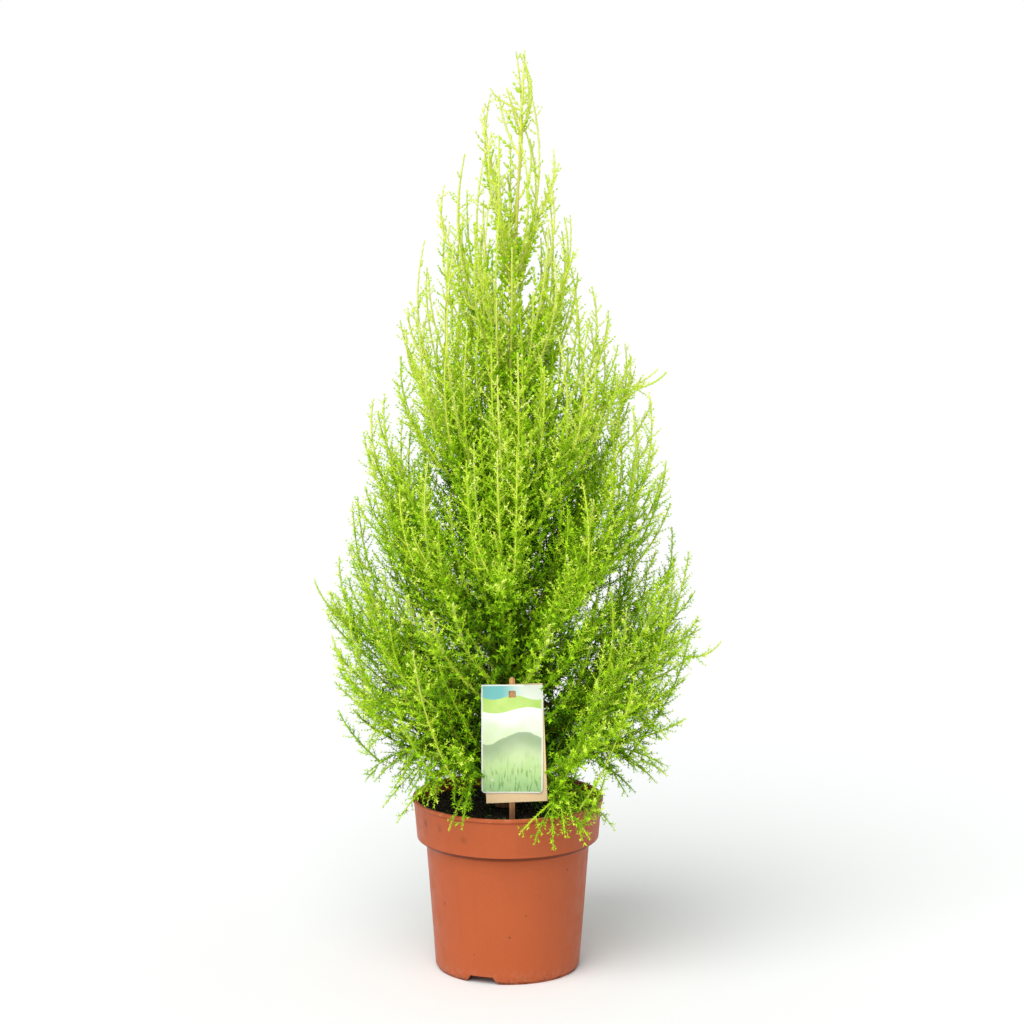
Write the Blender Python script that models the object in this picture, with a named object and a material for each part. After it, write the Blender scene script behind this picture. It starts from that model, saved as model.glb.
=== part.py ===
"""A lemon cypress in a plastic nursery pot.

One upright stem runs from the compost to just under the top of the crown. Plumes of foliage stand
round it in tiers: the lower ones are carried on short boughs, the upper ones grow straight from the
stem. Each plume is one closed body, a tapering stem with toothed sprays fused to it, and keeps to
the space that is nearer to its own axis than to any other. Two cards hang on a stick at the front.
Metres, +Z up, the front faces -Y, origin at the middle of the foot under the pot.
"""

import math
import random
from collections import namedtuple

import bmesh
import bpy
import numpy as np
from mathutils import Matrix, Vector

SEED = 1902
GAP = 0.0003  # between pieces that touch
GOLDEN_ANGLE = math.radians(137.508)

# Pot: a thin wall with a deep collar, on a foot ring with three drain notches
POT_HEIGHT = 0.174
RIM_RADIUS = 0.095
BEAD_HEIGHT = 0.0036
BEAD_DEPTH = 0.0013
BEAD_ROUND = 0.0006
COLLAR_BOTTOM = 0.1335
COLLAR_BOTTOM_RADIUS = 0.0905
SHOULDER_BOTTOM = 0.1275
BODY_TOP_RADIUS = 0.0812
BODY_FOOT_RADIUS = 0.0722
WALL = 0.0022
SHOULDER_CURVE = ((0.0014, 0.0030), (0.0046, 0.0048))  # in from and down from the collar's bottom edge
SHOULDER_FILLET = 0.0006
FLOOR_UNDERSIDE = 0.009
FOOT_CURVE = ((0.0, 0.0060), (0.0008, 0.0025), (0.0022, 0.0008), (0.0024, 0.0))  # in from the foot, height
FOOT_RING_WIDTH = 0.003
BOSS_RADIUS = 0.017
BOSS_TAPER = 0.001
POT_SIDES = 40
NOTCH_COUNT = 3
NOTCH_FIRST_AZIMUTH = math.radians(-111.0)
NOTCH_HEIGHT = 0.0065
NOTCH_TOP_WIDTH = 0.025
NOTCH_FOOT_WIDTH = 0.033
NOTCH_DEPTH = 0.012
NOTCH_OVERSHOOT = 0.003

# Compost: fills the pot to a little under the rim
SOIL_TOP = 0.162
SOIL_EDGE_DROP = 0.001
SOIL_FLAT_RADIUS = 0.014
SOIL_RINGS = (0.72, 0.4)  # radii of the uneven rings, for that of the edge
SOIL_WAVES = ((3, 0.9), (7, 0.9), (11, 0.5))  # humps round the pot and their height in mm

# Stem of the tree: radius at a height
TRUNK_FOOT = Vector((-0.004, 0.004, SOIL_TOP + GAP))
TRUNK_TOP = 0.822
TRUNK_LEAN = 0.0165
TRUNK_LEAN_LOW = 0.35  # share of the lean that comes evenly, the rest near the top
TRUNK_WANDER = 0.0022
TRUNK_WANDER_TURNS = 1.3
TRUNK_RADII = ((0.0, 0.0088), (0.008, 0.0064), (0.03, 0.0056), (0.29, 0.0038), (0.53, 0.0019), (0.66, 0.0009))
TRUNK_SIDES = 10
TRUNK_RINGS = 14
TRUNK_RING_CROWDING = 1.4  # over 1 puts more rings near the flare

# Crown: how far it reaches to the left (-X) and to the right (+X) at a height
CROWN_TOP = 0.908
CROWN_PROFILE = (
    (0.13, 0.105, 0.112),
    (0.20, 0.142, 0.158),
    (0.26, 0.168, 0.184),
    (0.34, 0.184, 0.192),
    (0.42, 0.160, 0.172),
    (0.52, 0.140, 0.152),
    (0.61, 0.120, 0.128),
    (0.67, 0.094, 0.086),
    (0.77, 0.066, 0.060),
    (0.85, 0.024, 0.032),
    (0.91, 0.006, 0.023),
)
DEPTH_RATIO = 0.94  # how deep the crown is from front to back for its width
CROWN_SLACK = 1.04

# A tier of plumes. azimuths in degrees from +X, heights in metres. Each axis bends at spread of its reach
# and lift above its root. bough is the share of the axis that is bare limb, girth the length of the longest
# side sprays and core the greatest radius of the dense middle.
TIER_SIZES = "name azimuths root_height root_step tip_heights spread lift bough girth core blades"
Tier = namedtuple("Tier", TIER_SIZES)
TIERS = (
    Tier("top", (178, 350, 262, 85), 0.715, -0.020, (0.852, 0.800, 0.772, 0.825),
         0.60, 0.050, 0.0, 0.052, 0.008, 9),
    Tier("upper", (184, 330, 254, 112, 40), 0.585, -0.018, (0.765, 0.718, 0.705, 0.735, 0.695),
         0.58, 0.070, 0.0, 0.066, 0.020, 9),
    Tier("middle", (188, 348, 226, 308, 270, 146, 94, 14), 0.465, -0.014,
         (0.668, 0.648, 0.600, 0.580, 0.560, 0.612, 0.610, 0.600), 0.60, 0.065, 0.0, 0.086, 0.028, 9),
    Tier("lower", (268, 194, 342, 234, 302, 50, 98, 144), 0.350, -0.011,
         (0.425, 0.530, 0.505, 0.450, 0.440, 0.500, 0.475, 0.465), 0.64, 0.055, 0.17, 0.098, 0.034, 9),
    Tier("low", (178, 358, 214, 324, 84, 128, 42), 0.258, -0.008,
         (0.365, 0.345, 0.285, 0.295, 0.320, 0.300, 0.310), 0.58, 0.048, 0.19, 0.095, 0.034, 9),
    Tier("skirt", (194, 344, 232, 309, 96), 0.198, -0.004, (0.205, 0.215, 0.200, 0.150, 0.205),
         0.50, 0.062, 0.0, 0.078, 0.022, 8),
)
LEADER_NAME = "foliage_leader"
LEADER_GIRTH = 0.022
LEADER_CORE = 0.001
LEADER_BLADES = 7

# Limbs and the sprays on them
BOUGH_ROOT_RADIUS = 0.0030
BOUGH_TIP_RADIUS = 0.0019
BOUGH_SIDES = 5
BOUGH_RINGS = 4
SPEED_STEP = 0.01
STEM_ROOT_RADIUS = 0.0017
STEM_TIP_RADIUS = 0.0006
STEM_SIDES = 3
STEM_RINGS = 9
CORE_SIDES = 5
CORE_HOLLOWS = 0.6  # radius in the hollows of a core, for one on its humps
CORE_EVENNESS = 0.82
LEAST_TURN = 0.001
CORE_BEND_SHARE = 0.6  # greatest radius of a core for that of the bend it follows
CORE_SWELL = (0.0, 0.65, 0.95, 1.0, 1.0, 0.88, 0.68, 0.40, 0.0)  # from the root to the tip
SHOOTS_PER_BLADE = 3
SHOOT_SEED_STEP = 31
CORE_SEED_STEP = 17
FIRST_SHOOT = 0.10
LAST_SHOOT = 0.93
TURN_JITTER = 0.35
ROOT_FULLNESS = 0.6  # length of the lowest side sprays, for the longest
FULLNESS_RISE = 1.6
TIP_THINNING = 0.56  # by how much the last side sprays are shorter
TIP_THINNING_POWER = 1.8
SHOOT_PITCH = (math.radians(32.0), math.radians(46.0))
SHOOT_LENGTH = (0.85, 1.12)
BLADE_WIDTH = 0.56
BLADE_SUNK = 0.35  # where a blade starts, for the radius of the core round it
BLADE_THICKNESS = 0.045
LONGEST_SUNK = 0.3
SHRINK_STEPS = (1.0, 0.82, 0.66, 0.5, 0.38)
SHORTEST_BLADE = 0.013
TEST_SHARES = (0.3, 0.65)  # where a blade is tested between its root and its outline
PATH_POINTS = 13
CELL_MARGIN = 0.0009
LIMB_MARGIN = 0.0012
POT_MARGIN = 0.004

# Cards and stick, in the cards' own frame: x to the right, y up the stick, z towards the front
LABEL_FOOT = Vector((0.0045, -0.052, SOIL_TOP))
LABEL_LEAN = math.radians(5.0)
STICK_WIDTH = 0.0056
STICK_THICKNESS = 0.0016
STICK_TOP = 0.1475
STICK_DEPTH = 0.030
CARD_WIDTH = 0.060
CARD_HEIGHT = 0.111
CARD_THICKNESS = 0.0006
CARD_TOP = 0.1405
CARD_CORNER = 0.004
BACK_CARD_HEIGHT = 0.121
BACK_CARD_TURN = math.radians(2.4)
SLOT_WIDTH = 0.0066
SLOT_HEIGHT = 0.0072
SLOT_BELOW_TOP = 0.0062
LABEL_MIDDLE = 0.003
LABEL_HALF_WIDTH = 0.033
LABEL_CLEARANCE = 0.004
LABEL_VIEW_DEPTH = 0.2


def clear_scene():
    for old in list(bpy.data.objects):
        bpy.data.objects.remove(old, do_unlink=True)


def material(name, colour, roughness):
    made = bpy.data.materials.new(name)
    made.use_nodes = True
    shader = made.node_tree.nodes["Principled BSDF"]
    shader.inputs["Base Color"].default_value = (*colour, 1.0)
    shader.inputs["Roughness"].default_value = roughness
    shader.inputs["Metallic"].default_value = 0.0
    return made


def add_object(name, points, faces, look):
    mesh = bpy.data.meshes.new(name)
    mesh.from_pydata([tuple(p) for p in points], [], faces)
    mesh.validate()
    made = bpy.data.objects.new(name, mesh)
    made.data.materials.append(look)
    bpy.context.scene.collection.objects.link(made)
    return made


def applied(target):
    """Replaces an object's mesh by what its modifiers make of it."""
    graph = bpy.context.evaluated_depsgraph_get()
    mesh = bpy.data.meshes.new_from_object(target.evaluated_get(graph))
    target.modifiers.clear()
    target.data = mesh


def boolean(target, operation, tools):
    """Joins or cuts an object with others and removes those."""
    group = bpy.data.collections.new(target.name + "_tools")
    bpy.context.scene.collection.children.link(group)
    for tool in tools:
        bpy.context.scene.collection.objects.unlink(tool)
        group.objects.link(tool)
    change = target.modifiers.new("boolean", "BOOLEAN")
    change.operation = operation
    change.operand_type = "COLLECTION"
    change.collection = group
    change.solver = "EXACT"
    applied(target)
    for tool in tools:
        bpy.data.objects.remove(tool, do_unlink=True)
    bpy.data.collections.remove(group)


def keep_outer_shell(target):
    """Keeps an object's largest shell: fills the hollows that a union sealed, drops loose scraps."""
    shape = bmesh.new()
    shape.from_mesh(target.data)
    bmesh.ops.triangulate(shape, faces=shape.faces)
    unseen = set(shape.faces)
    shells = []
    while unseen:
        front = [unseen.pop()]
        shell = []
        while front:
            face = front.pop()
            shell.append(face)
            for edge in face.edges:
                if len(edge.link_faces) != 2:
                    continue
                for other in edge.link_faces:
                    if other in unseen:
                        unseen.remove(other)
                        front.append(other)
        shells.append(shell)
    shells.sort(key=len)
    for shell in shells[:-1]:
        bmesh.ops.delete(shape, geom=shell, context="FACES")
    shape.to_mesh(target.data)
    shape.free()


# ---- Turned and swept shapes


def turned(profile, sides, wobble=None):
    """Points and faces of a closed body: a profile from axis to axis, spun round +Z."""
    points = []
    rings = []
    for radius, height in profile:
        if radius == 0.0:
            rings.append([len(points)] * sides)
            points.append((0.0, 0.0, height))
            continue
        ring = []
        for side in range(sides):
            angle = math.tau * side / sides
            lift = wobble(radius, height, angle) if wobble else 0.0
            ring.append(len(points))
            points.append((radius * math.cos(angle), radius * math.sin(angle), height + lift))
        rings.append(ring)
    faces = []
    for low, high in zip(rings, rings[1:]):
        for side in range(sides):
            after = (side + 1) % sides
            corners = (low[side], low[after], high[after], high[side])
            faces.append(tuple(dict.fromkeys(corners)))
    return points, faces


def frames_along(path):
    """Tangent and two steady side directions at each point of a path."""
    tangents = []
    for index in range(len(path)):
        before = path[max(index - 1, 0)]
        after = path[min(index + 1, len(path) - 1)]
        tangents.append((after - before).normalized())
    side = tangents[0].orthogonal().normalized()
    frames = []
    for tangent in tangents:
        side = (side - tangent * side.dot(tangent)).normalized()
        frames.append((tangent, side, tangent.cross(side)))
    return frames


def tube(path, radii, sides, root_facing=None):
    """Points and faces of a tapering limb with flat ends. root_facing turns its first ring."""
    points = []
    frames = frames_along(path)
    for index, (centre, radius) in enumerate(zip(path, radii)):
        tangent, side, up = frames[index]
        if index == 0 and root_facing is not None:
            side = (side - root_facing * side.dot(root_facing)).normalized()
            up = root_facing.cross(side)
        for corner in range(sides):
            angle = math.tau * corner / sides
            points.append(centre + side * (radius * math.cos(angle)) + up * (radius * math.sin(angle)))
    faces = [tuple(range(sides - 1, -1, -1))]
    for ring in range(len(path) - 1):
        first = ring * sides
        for corner in range(sides):
            after = (corner + 1) % sides
            faces.append((first + corner, first + after, first + sides + after, first + sides + corner))
    last = (len(path) - 1) * sides
    faces.append(tuple(range(last, last + sides)))
    return points, faces


# ---- Pot and compost


def inner_wall():
    """Profile of the inside of the pot, from the floor's edge up to the rim."""
    floor = FLOOR_UNDERSIDE + WALL
    return [
        (BODY_FOOT_RADIUS - WALL, floor),
        (BODY_TOP_RADIUS - WALL, SHOULDER_BOTTOM + 0.6 * WALL),
        (COLLAR_BOTTOM_RADIUS - WALL, COLLAR_BOTTOM + 0.2 * WALL),
        (RIM_RADIUS - BEAD_DEPTH - WALL, POT_HEIGHT - BEAD_HEIGHT),
    ]


def outer_wall():
    """Profile of the outside of the pot, from the rim's bead down to the foot."""
    bead_bottom = POT_HEIGHT - BEAD_HEIGHT
    profile = [
        (RIM_RADIUS - BEAD_ROUND, POT_HEIGHT),
        (RIM_RADIUS, POT_HEIGHT - BEAD_ROUND),
        (RIM_RADIUS, bead_bottom + BEAD_ROUND),
        (RIM_RADIUS - BEAD_DEPTH, bead_bottom),
        (COLLAR_BOTTOM_RADIUS, COLLAR_BOTTOM),
    ]
    profile += [(COLLAR_BOTTOM_RADIUS - inset, COLLAR_BOTTOM - drop) for inset, drop in SHOULDER_CURVE]
    profile += [
        (BODY_TOP_RADIUS + SHOULDER_FILLET, SHOULDER_BOTTOM + SHOULDER_FILLET),
        (BODY_TOP_RADIUS, SHOULDER_BOTTOM - SHOULDER_FILLET),
    ]
    profile += [(BODY_FOOT_RADIUS - inset, height) for inset, height in FOOT_CURVE]
    return profile


def build_pot():
    ring_inside = BODY_FOOT_RADIUS - FOOT_CURVE[-1][0] - FOOT_RING_WIDTH
    floor = FLOOR_UNDERSIDE + WALL
    lip = RIM_RADIUS - BEAD_DEPTH - WALL
    profile = [(0.0, floor)]
    profile += inner_wall()
    profile += [(lip, POT_HEIGHT)]
    profile += outer_wall()
    profile += [
        (ring_inside, 0.0),
        (ring_inside, FLOOR_UNDERSIDE),
        (BOSS_RADIUS + BOSS_TAPER, FLOOR_UNDERSIDE),
        (BOSS_RADIUS, 0.0),
        (0.0, 0.0),
    ]
    points, faces = turned(profile, POT_SIDES)
    look = material("pot", (0.56, 0.155, 0.065), 0.48)
    pot = add_object("pot", points, [tuple(reversed(face)) for face in faces], look)
    boolean(pot, "DIFFERENCE", [notch(index, look) for index in range(NOTCH_COUNT)])
    return pot


def notch(index, look):
    """Cutter for one drain notch: a trapezoid arch through the foot ring."""
    azimuth = NOTCH_FIRST_AZIMUTH + math.tau * index / NOTCH_COUNT
    outward = Vector((math.cos(azimuth), math.sin(azimuth), 0.0))
    across = Vector((-outward.y, outward.x, 0.0))
    section = (
        (-NOTCH_FOOT_WIDTH / 2, -NOTCH_OVERSHOOT),
        (NOTCH_FOOT_WIDTH / 2, -NOTCH_OVERSHOOT),
        (NOTCH_TOP_WIDTH / 2, NOTCH_HEIGHT),
        (-NOTCH_TOP_WIDTH / 2, NOTCH_HEIGHT),
    )
    points = []
    for distance in (BODY_FOOT_RADIUS - NOTCH_DEPTH, BODY_FOOT_RADIUS + NOTCH_OVERSHOOT):
        for width, height in section:
            points.append(outward * distance + across * width + Vector((0.0, 0.0, height)))
    faces = [(0, 3, 2, 1), (4, 5, 6, 7), (0, 1, 5, 4), (1, 2, 6, 5), (2, 3, 7, 6), (3, 0, 4, 7)]
    return add_object(f"notch_{index}", points, faces, look)


def build_soil():
    """Compost: the inside of the pot, with a slightly uneven top and a socket for the stick."""
    dice = random.Random(SEED)
    waves = [(humps, height / 1000.0, dice.uniform(0.0, math.tau)) for humps, height in SOIL_WAVES]

    def uneven(radius, height, angle):
        if height < SOIL_TOP or radius <= SOIL_FLAT_RADIUS:
            return 0.0
        twist = radius / RIM_RADIUS
        return sum(size * math.sin(humps * (angle + twist) + phase) for humps, size, phase in waves)

    wall = inner_wall()
    shoulder, collar_top = wall[2], wall[3]
    edge_height = SOIL_TOP - SOIL_EDGE_DROP
    share = (edge_height - shoulder[1]) / (collar_top[1] - shoulder[1])
    edge = shoulder[0] + share * (collar_top[0] - shoulder[0])
    profile = [(0.0, wall[0][1] + GAP)]
    profile += [(radius - GAP, height + GAP) for radius, height in wall[:3]]
    profile += [(edge - GAP, edge_height)]
    profile += [(size * edge, SOIL_TOP) for size in SOIL_RINGS]
    profile += [(SOIL_FLAT_RADIUS, SOIL_TOP), (0.0, SOIL_TOP)]
    points, faces = turned(profile, POT_SIDES, uneven)
    look = material("soil", (0.022, 0.017, 0.012), 0.95)
    soil = add_object("soil", points, faces, look)
    socket = stick_outline(GAP, -STICK_DEPTH - GAP, STICK_DEPTH)
    boolean(soil, "DIFFERENCE", [plate("socket", socket, -STICK_THICKNESS - GAP, GAP, look)])
    return soil


# ---- Cards and stick


def label_frame():
    """Places the cards' own frame in the world: it leans towards the front."""
    lean = Matrix.Rotation(math.radians(90.0) + LABEL_LEAN, 4, "X")
    return Matrix.Translation(LABEL_FOOT) @ lean


def plate(name, outline, back, front, look, hole=None):
    """A flat piece between two depths. An outline runs anticlockwise seen from the front."""
    place = label_frame()
    count = len(outline)
    points = [place @ Vector((x, y, back)) for x, y in outline]
    points += [place @ Vector((x, y, front)) for x, y in outline]
    faces = [tuple(range(count - 1, -1, -1)), tuple(range(count, 2 * count))]
    for index in range(count):
        after = (index + 1) % count
        faces.append((index, after, count + after, count + index))
    made = add_object(name, points, faces, look)
    if hole:
        cutter = plate(name + "_hole", hole, back - CARD_THICKNESS, front + CARD_THICKNESS, look)
        boolean(made, "DIFFERENCE", [cutter])
    return made


def stick_outline(grow, bottom, top):
    half = STICK_WIDTH / 2 + grow
    return [(-half, bottom), (half, bottom), (half, top), (-half, top)]


def rounded_stick_outline():
    half = STICK_WIDTH / 2
    outline = [(-half, -STICK_DEPTH), (half, -STICK_DEPTH)]
    for step in range(7):
        angle = math.pi * step / 6
        outline.append((half * math.cos(angle), STICK_TOP - half + half * math.sin(angle)))
    return outline


def card_outline(height, corner, turn):
    """A card that hangs from the slot, turned about it."""
    half = CARD_WIDTH / 2
    bottom = CARD_TOP - height
    outline = []
    if corner:
        for centre_x, start in ((-half + corner, math.pi), (half - corner, 1.5 * math.pi)):
            for step in range(4):
                angle = start + 0.5 * math.pi * step / 3
                across = centre_x + corner * math.cos(angle)
                outline.append((across, bottom + corner + corner * math.sin(angle)))
    else:
        outline += [(-half, bottom), (half, bottom)]
    outline += [(half, CARD_TOP), (-half, CARD_TOP)]
    return turned_outline(outline, turn)


def slot_outline(turn):
    top = CARD_TOP - SLOT_BELOW_TOP
    half = SLOT_WIDTH / 2
    corners = [(-half, top - SLOT_HEIGHT), (half, top - SLOT_HEIGHT), (half, top), (-half, top)]
    return turned_outline(corners, turn)


def turned_outline(outline, turn):
    pivot = Vector((0.0, CARD_TOP - SLOT_BELOW_TOP))
    spin = Matrix.Rotation(turn, 2)
    return [tuple(spin @ (Vector(corner) - pivot) + pivot) for corner in outline]


def build_label():
    wood = material("stick", (0.55, 0.32, 0.16), 0.7)
    plate("label_stick", rounded_stick_outline(), -STICK_THICKNESS, 0.0, wood)
    kraft = material("back_card", (0.72, 0.5, 0.3), 0.75)
    back = card_outline(BACK_CARD_HEIGHT, 0.0, BACK_CARD_TURN)
    front_of_back = GAP + CARD_THICKNESS
    plate("label_card_back", back, GAP, front_of_back, kraft, slot_outline(BACK_CARD_TURN))
    print_look = material("front_card", (0.55, 0.72, 0.5), 0.4)
    front = card_outline(CARD_HEIGHT, CARD_CORNER, 0.0)
    near = front_of_back + GAP
    plate("label_card_front", front, near, near + CARD_THICKNESS, print_look, slot_outline(0.0))


# ---- Where the tree grows


def between(table, value, column):
    """Reads a column of a table at a value of its first column, on straight lines."""
    for low, high in zip(table, table[1:]):
        if value <= high[0]:
            share = max((value - low[0]) / (high[0] - low[0]), 0.0)
            return low[column] + share * (high[column] - low[column])
    return table[-1][column]


def trunk_centre(height):
    """The stem leans a little to the right, most of it near the top."""
    share = (height - SOIL_TOP) / (CROWN_TOP - SOIL_TOP)
    lean = TRUNK_LEAN * (TRUNK_LEAN_LOW * share + (1.0 - TRUNK_LEAN_LOW) * share**3)
    wander = TRUNK_WANDER * math.sin(math.tau * TRUNK_WANDER_TURNS * share) * (1.0 - share)
    foot = TRUNK_FOOT * (1.0 - share)
    return Vector((foot.x + lean + wander, foot.y + wander, height))


def trunk_radius(height):
    return between(TRUNK_RADII, height - SOIL_TOP, 1)


def crown_reach(height, azimuth):
    """How far the crown reaches from the middle of the pot at a height, in a direction."""
    left = between(CROWN_PROFILE, height, 1)
    right = between(CROWN_PROFILE, height, 2)
    side = math.cos(azimuth)
    width = 0.5 * (left + right) + 0.5 * (right - left) * side
    return width * (DEPTH_RATIO + (1.0 - DEPTH_RATIO) * side * side)


def bend(root, middle, tip, share):
    """A point on the curve that starts at root, heads for middle and ends at tip."""
    rest = 1.0 - share
    return root * (rest * rest) + middle * (2.0 * rest * share) + tip * (share * share)


def heading(curve, share):
    """Unit direction of such a curve at a share of it."""
    root, middle, tip = curve
    return ((middle - root) * (1.0 - share) + (tip - middle) * share).normalized()


Plume = namedtuple("Plume", "name facing curve bough girth core blades")


def plume_curve(tier, member):
    """The three points that one plume's axis bends through, from the stem to its tip."""
    azimuth = math.radians(tier.azimuths[member])
    outward = Vector((math.cos(azimuth), math.sin(azimuth), 0.0))
    root_height = tier.root_height + tier.root_step * member
    tip_height = tier.tip_heights[member]
    root = trunk_centre(root_height) + outward * (trunk_radius(root_height) + GAP)
    reach = crown_reach(tip_height, azimuth)
    tip = outward * reach + Vector((0.0, 0.0, tip_height))
    middle = outward * (tier.spread * reach)
    middle.z = root_height + tier.lift
    return outward, (root, middle, tip)


def all_plumes():
    top = trunk_centre(TRUNK_TOP + GAP)
    tip = trunk_centre(CROWN_TOP)
    leader = (top, (top + tip) / 2, tip)
    upward = Vector((0.0, 0.0, 1.0))
    plumes = [Plume(LEADER_NAME, upward, leader, 0.0, LEADER_GIRTH, LEADER_CORE, LEADER_BLADES)]
    for tier in TIERS:
        for member in range(len(tier.azimuths)):
            facing, curve = plume_curve(tier, member)
            name = f"foliage_{tier.name}_{member + 1}"
            plumes.append(Plume(name, facing, curve, tier.bough, tier.girth, tier.core, tier.blades))
    return plumes


def axis_path(plume, start, rings):
    return [bend(*plume.curve, start + (1.0 - start) * ring / (rings - 1)) for ring in range(rings)]


def bough_path(plume, rings):
    return [bend(*plume.curve, plume.bough * ring / (rings - 1)) for ring in range(rings)]


def foliage_start(plume):
    """Share of the axis where the foliage starts, a gap beyond the bough's end."""
    if not plume.bough:
        return 0.0
    stride = bend(*plume.curve, plume.bough + SPEED_STEP) - bend(*plume.curve, plume.bough)
    speed = stride.length / SPEED_STEP
    return plume.bough + GAP / speed


# ---- The space that each plume keeps to


def distances(points, path):
    """Shortest distance from each point to a path of straight pieces."""
    start = path[:-1]
    run = path[1:] - start
    offset = points[:, None, :] - start[None, :, :]
    share = np.clip((offset * run).sum(-1) / (run * run).sum(-1), 0.0, 1.0)
    return np.linalg.norm(offset - share[..., None] * run, axis=-1).min(axis=1)


class Space:
    """Says whether points lie in the space of one plume, clear of everything else."""

    def __init__(self, plumes):
        self.axes = [np.array(axis_path(plume, foliage_start(plume), PATH_POINTS)) for plume in plumes]
        self.boughs = [np.array(bough_path(plume, PATH_POINTS)) for plume in plumes if plume.bough]
        heights = np.linspace(SOIL_TOP, TRUNK_TOP, 2 * PATH_POINTS)
        self.trunk = np.array([trunk_centre(height) for height in heights])
        self.to_label = np.array(label_frame().inverted())

    def holds(self, index, points):
        own = distances(points, self.axes[index])
        for other, axis in enumerate(self.axes):
            if other != index and (distances(points, axis) < own + 2.0 * CELL_MARGIN).any():
                return False
        for bough in self.boughs:
            if (distances(points, bough) < BOUGH_ROOT_RADIUS + LIMB_MARGIN).any():
                return False
        thickness = np.array([trunk_radius(point[2]) for point in points])
        below_top = points[:, 2] < TRUNK_TOP + LIMB_MARGIN
        near_trunk = distances(points, self.trunk) < thickness + LIMB_MARGIN
        if (near_trunk & below_top).any():
            return False
        return self.in_crown(points) and self.clear_of_pot(points) and self.clear_of_label(points)

    def room(self, index, point):
        """Radius round a point of the plume's axis that meets nothing else."""
        place = np.array([point])
        gaps = [0.5 * distances(place, axis)[0] for other, axis in enumerate(self.axes) if other != index]
        gaps += [distances(place, bough)[0] - BOUGH_ROOT_RADIUS for bough in self.boughs]
        if point.z < TRUNK_TOP:
            gaps.append(distances(place, self.trunk)[0] - trunk_radius(point.z))
        spread = math.hypot(point.x, point.y)
        gaps.append(math.hypot(max(spread - RIM_RADIUS, 0.0), max(point.z - POT_HEIGHT, 0.0)))
        local = self.to_label[:3, :3] @ place[0] + self.to_label[:3, 3]
        beside = abs(local[0] - LABEL_MIDDLE) - LABEL_HALF_WIDTH
        gaps.append(max(beside, local[1] - STICK_TOP, -STICK_THICKNESS - local[2]) - LABEL_CLEARANCE)
        return max(min(gaps) - LIMB_MARGIN, 0.0)

    def in_crown(self, points):
        for x, y, z in points:
            limit = CROWN_SLACK * crown_reach(z, math.atan2(y, x))
            if math.hypot(x, y) > limit or z > CROWN_TOP:
                return False
        return True

    def clear_of_pot(self, points):
        radius = np.hypot(points[:, 0], points[:, 1])
        inside = (points[:, 2] < POT_HEIGHT + POT_MARGIN) & (radius < RIM_RADIUS + POT_MARGIN)
        return not inside.any()

    def clear_of_label(self, points):
        local = points @ self.to_label[:3, :3].T + self.to_label[:3, 3]
        beside = np.abs(local[:, 0] - LABEL_MIDDLE) > LABEL_HALF_WIDTH + LABEL_CLEARANCE
        above = local[:, 1] > STICK_TOP + LABEL_CLEARANCE
        behind = local[:, 2] < -STICK_THICKNESS - LABEL_CLEARANCE
        return bool((beside | above | behind | (local[:, 2] > LABEL_VIEW_DEPTH)).all())


# ---- Foliage


Shoot = namedtuple("Shoot", "place root direction length twist sunk")


def shoots(plume, index):
    """Side shoots of a plume from its root to its tip, by a seeded rule."""
    dice = random.Random(SEED + SHOOT_SEED_STEP * index)
    count = plume.blades * SHOOTS_PER_BLADE
    swell = [(ring / (STEM_RINGS - 1), width) for ring, width in enumerate(CORE_SWELL)]
    start = foliage_start(plume)
    for number in range(count):
        place = FIRST_SHOOT + (LAST_SHOOT - FIRST_SHOOT) * (number + 0.5) / count
        share = start + (1.0 - start) * place
        root = bend(*plume.curve, share)
        tangent = heading(plume.curve, share)
        side = tangent.orthogonal().normalized()
        turn = number * GOLDEN_ANGLE + dice.uniform(-TURN_JITTER, TURN_JITTER)
        side = Matrix.Rotation(turn, 3, tangent) @ side
        pitch = dice.uniform(*SHOOT_PITCH)
        direction = tangent * math.cos(pitch) + side * math.sin(pitch)
        fullness = min(1.0, ROOT_FULLNESS + FULLNESS_RISE * place)
        fullness *= 1.0 - TIP_THINNING * place**TIP_THINNING_POWER
        length = plume.girth * fullness * dice.uniform(*SHOOT_LENGTH)
        sunk = BLADE_SUNK * plume.core * between(swell, place, 1)
        yield Shoot(place, root, direction, length, dice.uniform(0.0, math.pi), sunk)


# Outline of a spray as shares of its length and half width: a tooth a side and a tip
BLADE_TEETH = ((0.0, 0.0), (0.56, 1.0), (0.66, 0.4), (1.0, 0.0))


def blade(shoot, length):
    """Points and faces of one toothed spray, thickest along its middle."""
    side = Matrix.Rotation(shoot.twist, 3, shoot.direction) @ shoot.direction.orthogonal().normalized()
    up = shoot.direction.cross(side)
    start = min(shoot.sunk, LONGEST_SUNK * length)
    run = length - start
    half = BLADE_WIDTH * run / 2
    root = shoot.root + shoot.direction * start
    outline = list(BLADE_TEETH) + [(along, -across) for along, across in BLADE_TEETH[-2:0:-1]]
    points = [root + shoot.direction * (along * run) + side * (across * half) for along, across in outline]
    middle = root + shoot.direction * (run / 2)
    count = len(points)
    points.append(middle + up * (BLADE_THICKNESS * length / 2))
    points.append(middle - up * (BLADE_THICKNESS * length / 2))
    faces = []
    for corner in range(count):
        after = (corner + 1) % count
        faces.append((after, corner, count))
        faces.append((corner, after, count + 1))
    return points, faces


def fitting_blade(shoot, index, space):
    """The longest blade that keeps to the plume's space, or none."""
    for share in SHRINK_STEPS:
        length = shoot.length * share
        if length < SHORTEST_BLADE:
            return None
        points, faces = blade(shoot, length)
        outer = np.array(points[1:])
        tests = [outer]
        for weight in TEST_SHARES:
            tests.append(np.array(shoot.root) * (1.0 - weight) + outer * weight)
        if space.holds(index, np.concatenate(tests)):
            return points, faces
    return None


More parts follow.
